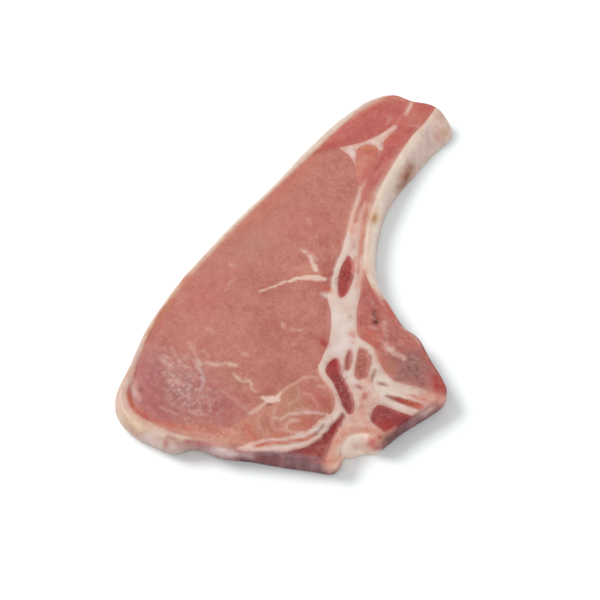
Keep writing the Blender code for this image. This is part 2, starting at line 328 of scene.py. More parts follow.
def makeBody():
    # The chop's wall as bridged rings, closed above and below
    profile = wallProfile()
    rings = []
    for height, inset in profile:
        path = ringPath(height, inset)
        bpy.ops.mesh.primitive_circle_add(vertices=len(path), fill_type="NOTHING")
        ring = bpy.context.object
        for vert, place in zip(ring.data.vertices, path):
            vert.co = toMetres(place.x, place.y, height)
        rings.append(ring)
    selectOnly(*rings)
    bpy.ops.object.join()
    body = bpy.context.object
    for (upper, _), (lower, _) in zip(profile, profile[1:]):
        selectHeights(body, [upper, lower])
        inEditMode(bpy.ops.mesh.bridge_edge_loops)
    for height in (profile[0][0], profile[-1][0]):
        selectHeights(body, [height])
        inEditMode(bpy.ops.mesh.edge_face_add)
    inEditMode(faceOutwards)
    return body


def makeSlab():
    # A block of small squares, cut to the chop's shape, gives both cut faces points to rise and fall
    body = makeBody()
    wide, long = slab["sheet"]
    across, down = round(wide / slab["square"]), round(long / slab["square"])
    bpy.ops.mesh.primitive_grid_add(x_subdivisions=across, y_subdivisions=down, size=1)
    block = bpy.context.object
    block.scale = (wide * mm, long * mm, 1)
    block.location = (0, 0, slab["thickness"] * mm)
    bpy.ops.object.transform_apply(location=True, rotation=False, scale=True)
    thicken(block, slab["thickness"], -1)
    cutBy(block, body, "INTERSECT")
    return block


def cutBy(obj, tool, operation):
    cut = obj.modifiers.new("cut", "BOOLEAN")
    cut.operation = operation
    cut.solver = "MANIFOLD"
    cut.object = tool
    selectOnly(obj)
    bpy.ops.object.modifier_apply(modifier=cut.name)
    bpy.data.objects.remove(tool)


chop = makeSlab()
print("slab made:", len(chop.data.polygons), "faces")

# The seams between muscle, fat, bone and marrow

fatTip, fatLeft, fatLow, fatRight = (-15.6, 101.4), (-30.2, 74), (-18.2, 70.6), (-10.8, 79.6)
rimMeetsCap, ribTip = (-38.5, 63.6), (-8.4, 61.4)
stripEndRib, stripEndCavity = (17.4, 22.8), (18.9, 25.6)
eyeMeetsBone, eyeMeetsRim = (31.4, -29.4), (-1, -93.4)

# Open seams run from side to side or from fork to fork, and some start outside the chop. Closed ones
# ring a piece. The marrow of the sawn bones reaches past the outline, which cuts it off
seams = {
    "gap": 0.02,
    "step": 1.2,
    "open": {
        "backFat": [
            (-25, 119), (-31, 106), (-35.6, 90), (-38, 73), rimMeetsCap, (-41.2, 40), (-43.4, 12),
            (-45, -31), (-42.4, -56), (-36.4, -76), (-29, -90), (-18.6, -95.9), (-6, -94.8),
            eyeMeetsRim, (8, -91), (11, -94.5),
        ],
        "cavityFat": [
            (-5.4, 125), (-4.4, 110), (-5, 100), (-3.4, 83), (-0.9, 68), (3.2, 54), (9.2, 40.6),
            (15.6, 30), stripEndCavity, (27, 19.8), (41, 12.8), (45, 16.5),
        ],
        "capTop": [(-16.4, 121), (-16.3, 108), fatTip],
        "capLow": [fatLeft, (-35, 69.2), rimMeetsCap],
        "lobeLeft": [fatLow, (-13.5, 65.4), ribTip],
        "lobeRight": [fatRight, (-9.4, 71), ribTip],
        "boneBack": [
            ribTip, (-4, 48), (4.2, 28.5), (8.2, 15.5), (12.8, 6.4), (13, 3.6), (20, -3),
            (27, -14), (30.3, -25), eyeMeetsBone, (35, -32.2), (46, -36.8), (49.8, -44),
            (47.6, -52), (45.8, -60.6), (38, -69.6), (27.6, -79), (23.6, -92),
        ],
        "boneFront": [
            ribTip, (-0.6, 51), (7.6, 38), (14.4, 27.4), stripEndRib, (24, 15.6), (29.4, 5),
            (37.2, -5), (46, -5.6), (54, -11), (63.4, -13.9), (77, -9.6), (92, -10),
        ],
        "stripEnd": [stripEndRib, stripEndCavity],
        "eye": [
            eyeMeetsBone, (27.6, -39), (22.2, -55.4), (20.4, -67), (14, -79.4), (3, -89.6),
            eyeMeetsRim,
        ],
    },
    "closed": {
        "seamFat": [
            fatTip, (-18.4, 92), (-23.2, 82.4), fatLeft, (-24.6, 73.4), fatLow, (-20.2, 74.4),
            (-22.5, 78.4), (-19.6, 83.8), (-14.4, 84.6), fatRight, (-11.6, 85), (-14.4, 89.4),
        ],
        "ribMarrow": [
            (8.6, 27.2), (11, 26.6), (14.6, 23.2), (18.2, 17), (19.9, 10), (19, 6.2), (16.6, 7.6),
            (12.4, 13.4), (9.2, 21),
        ],
        "laminaMarrow": [
            (35.2, -20.4), (37.4, -20.8), (41.6, -25.2), (52, -31), (57.4, -37.2), (57, -40),
            (54, -39.4), (42, -31.6), (35.4, -28.8), (34, -24.4),
        ],
        "spineMarrow": [
            (55, -42.8), (57.4, -51), (60.8, -60.2), (66, -72), (46, -80), (44, -72.6),
            (51.4, -63), (53.6, -50),
        ],
        "bodyMarrow": [
            (64.4, -28.6), (74.6, -25.4), (90, -22), (84, -42), (75.6, -38.4), (66, -36.4),
        ],
        "transverseMarrow": [
            (41, -9.8), (44.6, -8.8), (48, -11.4), (51.5, -18.6), (50.6, -23), (47.4, -22.6),
            (43.2, -15.4),
        ],
        "facetMarrow": [
            (37.9, -13.6), (39.8, -14.2), (42.8, -19), (43, -21.8), (41, -21.2), (38.4, -17),
        ],
        "discTissue": [(65.4, -21.8), (73.6, -18.6), (81, -16.4), (81, -19.4), (73, -21.6)],
        "canalLining": [
            (75.6, -41), (67.6, -41.9), (61.5, -50.4), (64.6, -57.4), (72, -61), (83, -50),
        ],
    },
}


def makeSeamWall(name, points, closed):
    # A thin upright wall that follows the seam right through the chop
    path = smoothPath(points, closed, seams["step"])
    mesh = bpy.data.meshes.new(name)
    edges = [(i, i + 1) for i in range(len(path) - 1)]
    if closed:
        edges.append((len(path) - 1, 0))
    mesh.from_pydata([toMetres(p.x, p.y, -slab["thickness"]) for p in path], edges, [])
    wall = bpy.data.objects.new(name, mesh)
    bpy.context.collection.objects.link(wall)
    selectOnly(wall)
    bpy.ops.object.mode_set(mode="EDIT")
    bpy.ops.mesh.select_all(action="SELECT")
    bpy.ops.mesh.extrude_region_move(TRANSFORM_OT_translate={"value": (0, 0, slab["thickness"] * 3 * mm)})
    faceOutwards()
    bpy.ops.object.mode_set(mode="OBJECT")
    thicken(wall, seams["gap"], 0)
    return wall


for kind in ("open", "closed"):
    for seamName, seamPoints in seams[kind].items():
        cutBy(chop, makeSeamWall(seamName, seamPoints, kind == "closed"), "DIFFERENCE")
print("seams cut:", len(chop.data.polygons), "faces")

# Each piece: the part's node it stands for, a place inside it, its finish and the record's slot
pieces = {
    "loin": ("loin_muscle", (-15, -20), "loinMeat", "lean"),
    "flankCap": ("cap_muscle", (-27, 95), "capMeat", "cap_lean"),
    "flankLobe": ("flank_lobe", (-16, 77), "lobeMeat", "pale_lean"),
    "flankStrip": ("flank_strip", (-9, 100), "capMeat", "cap_lean"),
    "spineMuscle": ("multifidus_muscle", (37, -48), "spineMeat", "pale_lean"),
    "fillet": ("fillet_muscle", (55, 3), "filletMeat", "dark_lean"),
    "backFat": ("back_fat", (-20, -98), "rimFat", "fat"),
    "flankFat": ("flank_seam_fat", (-16.4, 91), "seamFat", "fat"),
    "cavityFat": ("cavity_fat", (-3, 100), "cavitySkin", "membrane"),
    "canalFat": ("canal_lining", (62.4, -50.5), "canalSkin", "membrane"),
    "bone": ("vertebra", (24, -3), "sawnBone", "bone"),
    "ribCore": ("rib_marrow", (14, 17), "redMarrow", "marrow"),
    "laminaCore": ("lamina_marrow", (45, -31), "redMarrow", "marrow"),
    "spineCore": ("spine_marrow", (56, -62), "redMarrow", "marrow"),
    "bodyCore": ("body_marrow", (71, -32), "redMarrow", "marrow"),
    "transverseCore": ("transverse_marrow", (47, -16), "brownMarrow", "pale_marrow"),
    "facetCore": ("facet_marrow", (40.5, -17.6), "brownMarrow", "pale_marrow"),
    "discCore": ("disc_tissue", (74, -20), "brownMarrow", "pale_marrow"),
}


def splitPieces():
    # Parts the chop into loose solids, names those that are wanted and drops scraps
    selectOnly(chop)
    bpy.ops.object.mode_set(mode="EDIT")
    bpy.ops.mesh.select_all(action="SELECT")
    bpy.ops.mesh.separate(type="LOOSE")
    bpy.ops.object.mode_set(mode="OBJECT")
    loose = list(bpy.context.selected_objects)
    made = {}
    for name, (node, spot, finish, slot) in pieces.items():
        above = Vector(toMetres(*spot, 2 * slab["thickness"]))
        for solid in loose:
            if solid.ray_cast(above, Vector((0, 0, -1)))[0]:
                solid.name = solid.data.name = name
                made[name] = solid
                loose.remove(solid)
                break
        else:
            raise RuntimeError("no solid under " + name)
    for scrap in loose:
        bpy.data.objects.remove(scrap)
    return made


solids = splitPieces()
print("pieces:", len(solids))

# What is drawn on the cut faces, in order: marbling, vessels, gristle and changes of colour. A stroke
# is (tint, strength, points of x, y, width), and a patch is a soft ellipse: (tint, strength, x, y, half
# length, half width, turn)

# As seen on a screen
tints = {
    "salmon": (202, 137, 122),
    "peach": (216, 160, 142),
    "orange": (198, 108, 88),
    "rust": (186, 98, 84),
    "deep": (170, 98, 93),
    "purple": (172, 102, 106),
    "lilac": (190, 146, 142),
    "mauve": (196, 142, 138),
    "red": (168, 58, 56),
    "maroon": (128, 66, 70),
    "wine": (146, 74, 78),
    "tan": (188, 140, 116),
    "olive": (176, 128, 108),
    "brown": (158, 108, 90),
    "umber": (100, 68, 64),
    "dark": (118, 70, 68),
    "grey": (156, 115, 110),
    "rose": (200, 118, 112),
    "flesh": (190, 108, 102),
    "amber": (202, 144, 112),
    "ochre": (190, 143, 102),
    "scab": (140, 92, 72),
    "slate": (160, 124, 117),
    "ash": (146, 112, 116),
    "pearl": (208, 182, 178),
    "pale": (222, 184, 172),
    "bone": (224, 202, 192),
    "cream": (224, 200, 180),
    "ivory": (230, 214, 198),
    "butter": (222, 198, 158),
    "white": (230, 218, 216),
}

patches = [
    # Eye muscle: broad changes of its red
    ("salmon", 0.5, -31, 12, 34, 11, 84),
    ("salmon", 0.35, -36, 52, 22, 6, 82),
    ("orange", 0.35, -38.6, 38, 26, 2.2, 87),
    ("olive", 0.3, -33, 3, 10, 6, 80),
    ("lilac", 0.3, -30, 4, 10, 6, 60),
    ("rose", 0.4, -33, -30, 14, 9, 80),
    ("deep", 0.3, -7, -8, 10, 7, 0),
    ("rose", 0.3, -14, 30, 12, 8, 60),
    ("salmon", 0.35, -12, -40, 18, 8, 10),
    ("deep", 0.45, -2, 62, 6, 12, 20),
    ("deep", 0.5, 4.5, 15, 6, 3.4, -50),
    ("deep", 0.35, 9.5, 7.5, 4, 3, -40),
    ("deep", 0.5, 20, -44, 9, 7, 60),
    ("deep", 0.35, 8, -24, 12, 6, 10),
    ("red", 0.3, 21, -52, 4, 2.2, 10),
    ("peach", 0.5, -3.4, 9.4, 4.4, 2.6, 40),
    ("orange", 0.75, 11.4, 6.6, 1.9, 1.6, 0),
    ("red", 0.9, 26.4, -17, 3, 1.9, -20),
    ("deep", 0.4, 21, -18, 4, 2.5, -10),
    # Its cooler, fibrous end, whose lilac-grey is partly the meat's own tone and partly a painted sheen
    ("purple", 0.6, -14, -74, 20, 13, -12),
    ("slate", 0.35, -12, -76, 16, 9, -12),
    ("lilac", 0.6, -19, -71, 12, 6, -12),
    ("purple", 0.85, -26, -80, 10, 7, -62),
    ("purple", 0.7, 8, -72, 8, 8, 0),
    ("purple", 0.75, -14, -89, 14, 4.4, -6),
    ("deep", 0.45, -33, -62, 10, 5, -70),
    ("dark", 0.5, -27.4, -86.6, 1.8, 1.4, 0),
    ("rust", 0.5, -41.5, -55, 15, 2, -76),
    ("salmon", 0.4, -24, -56, 10, 7, -30),
    ("olive", 0.4, 1.5, -57, 7, 3.4, -10),
    ("brown", 0.5, 8, -57, 2, 1.2, -20),
    # Multifidus
    ("tan", 0.6, 31, -52, 9, 6, -50),
    ("olive", 0.35, 35, -49.5, 6, 3, 10),
    ("tan", 0.5, 26, -67, 9, 4.4, -60),
    ("deep", 0.45, 41, -41, 6, 5, -20),
    ("rose", 0.45, 40, -43, 8, 5, -60),
    ("deep", 0.3, 44, -54, 5, 4, 0),
    ("deep", 0.35, 33, -38, 4, 3, -20),
    ("red", 0.3, 44.6, -41.5, 3, 3.6, -60),
    ("orange", 0.45, 43.4, -55.4, 2.6, 3, 0),
    ("orange", 0.35, 40.6, -59.4, 2, 1.6, 0),
    ("deep", 0.4, 29, -66, 5, 3, -60),
    ("orange", 0.85, 27, -74.4, 5.4, 1.8, -14),
    ("orange", 0.45, 37, -67.6, 6, 1.6, 50),
    ("orange", 0.35, 22, -71, 3, 2, 30),
    ("peach", 0.6, 14, -82.8, 11, 3, 30),
    ("orange", 0.5, 9, -84, 10, 2, 28),
    ("peach", 0.7, 0, -91, 10, 1.8, 24),
    ("cream", 0.5, 4, -92.6, 8, 1, 28),
    # Flank
    ("red", 0.3, -34, 72, 9, 2.4, 62),
    ("deep", 0.3, -26, 84, 12, 3, 66),
    ("rust", 0.5, -33, 98, 9, 1.4, 68),
    ("orange", 0.35, -17.4, 81.5, 3.6, 3, 0),
    ("peach", 0.35, -15, 74, 5, 3, -60),
    ("orange", 0.35, -12.6, 93, 5, 1.2, 70),
    ("salmon", 0.7, -9.4, 109.6, 5, 4.4, 0),
    ("salmon", 0.4, -26, 112, 5, 3, 50),
    # Rib: peach meat between two pale streaks, and the flank's strip beside it
    ("peach", 0.95, 2.4, 54, 9, 2.6, -70),
    ("peach", 0.9, 7.6, 44, 9, 2.8, -62),
    ("peach", 1, -0.4, 45.5, 16, 3.4, -66),
    ("orange", 0.35, -3.6, 55, 7, 1, -67),
    ("peach", 0.75, 13, 33.4, 9, 2.6, -60),
    ("peach", 0.85, 18, 25.6, 7, 2.4, -60),
    ("rust", 0.75, 2.8, 49.4, 4.4, 1.1, -62),
    ("orange", 0.55, 8.6, 40, 3, 1.3, -60),
    ("deep", 0.75, 12.2, 34, 4.4, 1, -60),
    ("lilac", 0.55, 7.4, 32.4, 3, 2.4, -60),
    ("white", 0.6, 4.4, 32, 3, 1.6, -66),
    ("peach", 0.7, 20.6, 19, 6, 1.4, -65),
    # Vertebra
    ("peach", 0.5, 13.5, 5.5, 2.4, 2, 0),
    ("cream", 0.6, 17.6, 3.6, 4, 2.4, -50),
    ("peach", 0.35, 24, 3, 4, 2.4, -60),
    ("white", 0.4, 34, -16.6, 4, 3, -60),
    ("white", 0.5, 37, -12, 2.5, 2, 0),
    ("white", 0.35, 24, -4, 7, 3, -55),
    ("brown", 0.3, 28.4, 0.8, 1.5, 1.2, 0),
    ("orange", 0.9, 34.9, -6.2, 1.5, 1.1, -20),
    ("peach", 0.7, 34.4, -5.2, 2.8, 2.2, -30),
    ("peach", 0.5, 37, -9, 1.6, 1.2, 0),
    ("peach", 0.5, 50.4, -9.4, 4, 1.6, -50),
    ("peach", 0.75, 53.4, -20, 3.4, 2, -60),
    ("peach", 0.65, 55, -27, 5, 5.4, -60),
    ("purple", 0.85, 52.3, -26.3, 1.7, 1.5, 0),
    ("purple", 0.75, 57.2, -28.6, 1.4, 1.7, 0),
    ("purple", 0.75, 58.5, -33.6, 1.2, 1.8, 0),
    ("orange", 0.4, 57, -30.6, 1.6, 1.6, 0),
    ("peach", 0.75, 60.6, -37, 3.4, 8, 0),
    ("peach", 1, 60, -49.5, 3, 10, 4),
    ("peach", 0.85, 63.6, -62.4, 3.8, 5, 30),
    ("orange", 0.5, 60.6, -49.8, 1.6, 4, 0),
    ("orange", 0.35, 60, -54, 2.4, 6, 10),
    ("orange", 0.55, 65, -43, 2.6, 1.3, 30),
    ("peach", 0.9, 69.6, -40, 7, 2.4, 6),
    ("orange", 0.65, 72, -40.2, 3, 1.6, 10),
    ("cream", 0.5, 71.5, -12.4, 10, 2.6, 14),
    ("peach", 0.85, 79.6, -12.6, 5, 3.6, 20),
    ("mauve", 0.8, 83.6, -14, 3, 7, -14),
    ("peach", 0.9, 83, -10.4, 4, 2.6, 20),
    ("orange", 0.4, 84.4, -10.4, 1.6, 2, 0),
    ("peach", 0.6, 79.6, -21.4, 4, 1.6, 16),
    # Marrow: browner below and redder above
    ("red", 0.8, 36.6, -23.6, 3.6, 3.4, 0),
    ("maroon", 0.6, 53, -36.5, 5, 3, -40),
    ("wine", 0.5, 44, -29, 6, 2.6, -35),
    ("dark", 0.35, 54.6, -61, 4, 4, 0),
    ("orange", 0.35, 60, -64.4, 4, 1.4, 20),
    ("wine", 0.65, 69, -31, 7, 5.4, 20),
    ("wine", 0.6, 77, -30, 4, 4, 20),
    ("red", 0.65, 73.6, -34.8, 3.4, 3, 40),
    ("maroon", 0.4, 78.4, -27, 4, 2, 60),
    ("purple", 0.5, 49.6, -20.4, 2.4, 2.4, 0),
    ("red", 0.4, 13.4, 19, 2.4, 5, -30),
    ("red", 0.7, 11.4, 24.4, 2.4, 1.6, -60),
    ("red", 0.5, 18.4, 9, 1.8, 2.2, 0),
    ("dark", 0.3, 17.2, 18, 1, 2, 0),
    # Fillet
    ("purple", 0.5, 28.4, 11.4, 3, 4, -60),
    ("orange", 0.6, 43.4, -1.8, 6.4, 3, -36),
    ("red", 0.3, 33.4, 2.6, 3, 1.8, -30),
    ("tan", 0.3, 44, 10, 6, 1.8, -28),
    ("lilac", 0.35, 50, 4, 8, 4, -30),
    ("olive", 0.75, 57, -8.6, 5, 3.2, -30),
    ("grey", 0.95, 67.6, -4, 9, 6.2, -20),
    ("slate", 0.8, 67, -3.6, 8, 5, -20),
    ("wine", 0.45, 75.6, -5, 4, 4, -20),
    ("dark", 0.15, 67, -1.6, 9, 5, -20),
    ("grey", 0.8, 66, -8.4, 4, 4, 0),
    ("grey", 0.6, 64, 0, 2.4, 6, 0),
    ("mauve", 0.5, 76.5, -4.5, 3.4, 2.4, -20),
    ("red", 0.9, 82.4, -4.4, 4.2, 3, -20),
    ("red", 0.5, 79, -2.4, 4, 2.4, -20),
    ("dark", 1, 36.1, 8.8, 1.6, 1.2, -40),
    ("dark", 1, 39.5, 5.7, 1.6, 1.4, -60),
    ("dark", 0.5, 37.8, 7.3, 1.2, 0.6, -45),
    ("lilac", 0.5, 40, 2.6, 2, 1.2, 30),
    ("lilac", 0.5, 31.8, 13.6, 2.4, 0.8, -50),
    ("dark", 0.5, 57, -2.8, 1, 0.9, 0),
    ("mauve", 0.8, 39.4, 14.4, 4, 1.8, -35),
    ("salmon", 0.6, 35, 18, 3, 1.4, -38),
    ("dark", 0.5, 64.4, -12.2, 1.8, 0.8, 30),
    # Fat along the back
    ("peach", 0.6, -20, -97.8, 7, 1.6, -5),
    ("orange", 0.6, -46.4, -27, 4.6, 1.8, 90),
    ("tan", 0.2, -42, -70, 22, 2.4, -72),
    ("peach", 0.35, -30, -96, 6, 3, -40),
    ("pale", 0.35, 16, -86, 6, 2, 28),
    ("white", 0.5, -38, 93, 24, 1.6, 72),
]

# Grainy patches: after the patch's own numbers come the grains' length and width
speckles = [
    # The first four, on the eye muscle's fibrous end, are partly pale tissue and partly painted wet sheen
    ("slate", 0.5, -13, -74, 20, 12, -12, 1.1, 1.2),
    ("pale", 0.3, -11, -72, 20, 10, -12, 1.4, 1.1),
    ("pearl", 0.35, -8, -76, 20, 11, -10, 1, 1.1),
    ("pale", 0.35, -22, -64, 12, 7, -10, 2, 1.2),
    ("deep", 0.5, -14, -78, 20, 12, -12, 1.2, 1.4),
    ("deep", 0.4, -8, -72, 22, 14, -12, 1.4, 1.6),
    ("dark", 0.6, 68, -3.6, 9, 7, -20, 1.3, 1.3),
    ("pale", 0.3, 50, 2, 22, 9, -28, 2.6, 1.1),
    ("deep", 0.4, 52, 1, 22, 9, -28, 2.2, 1.2),
    ("lilac", 0.3, 69, -3, 9, 7, -20, 1.1, 1.1),
    ("cream", 0.6, 8, -54.6, 9, 1.8, -4, 1.5, 1.3),
    ("peach", 0.6, 13, -83, 18, 4.4, 27, 1.5, 1.3),
    ("rust", 0.5, 12, -82, 18, 4.4, 27, 1.7, 1.4),
    ("orange", 0.5, 20, -76, 10, 5, 30, 2.2, 1.4),
    ("dark", 0.45, 55, -60, 5, 14, 8, 1.5, 1.5),
    ("mauve", 0.25, 55, -62, 6, 12, 8, 1.4, 1.2),
    ("mauve", 0.2, 69, -32, 6, 5, 0, 1.4, 1.2),
    ("maroon", 0.4, 72, -31, 8, 6, 0, 1.8, 1.5),
    ("maroon", 0.3, 14, 17, 4, 9, -28, 1.6, 1.5),
    ("mauve", 0.3, 14, 16, 4, 9, -28, 1.3, 1.1),
    ("dark", 0.5, 44, -30, 12, 4, -40, 1.6, 1.4),
    ("mauve", 0.3, 46, -31, 12, 4, -40, 1.3, 1.1),
    ("dark", 0.4, 75, -19, 6, 2, 14, 1.6, 1.1),
    ("red", 0.35, 57, -30, 3.4, 6, 0, 1.4, 1.4),
]

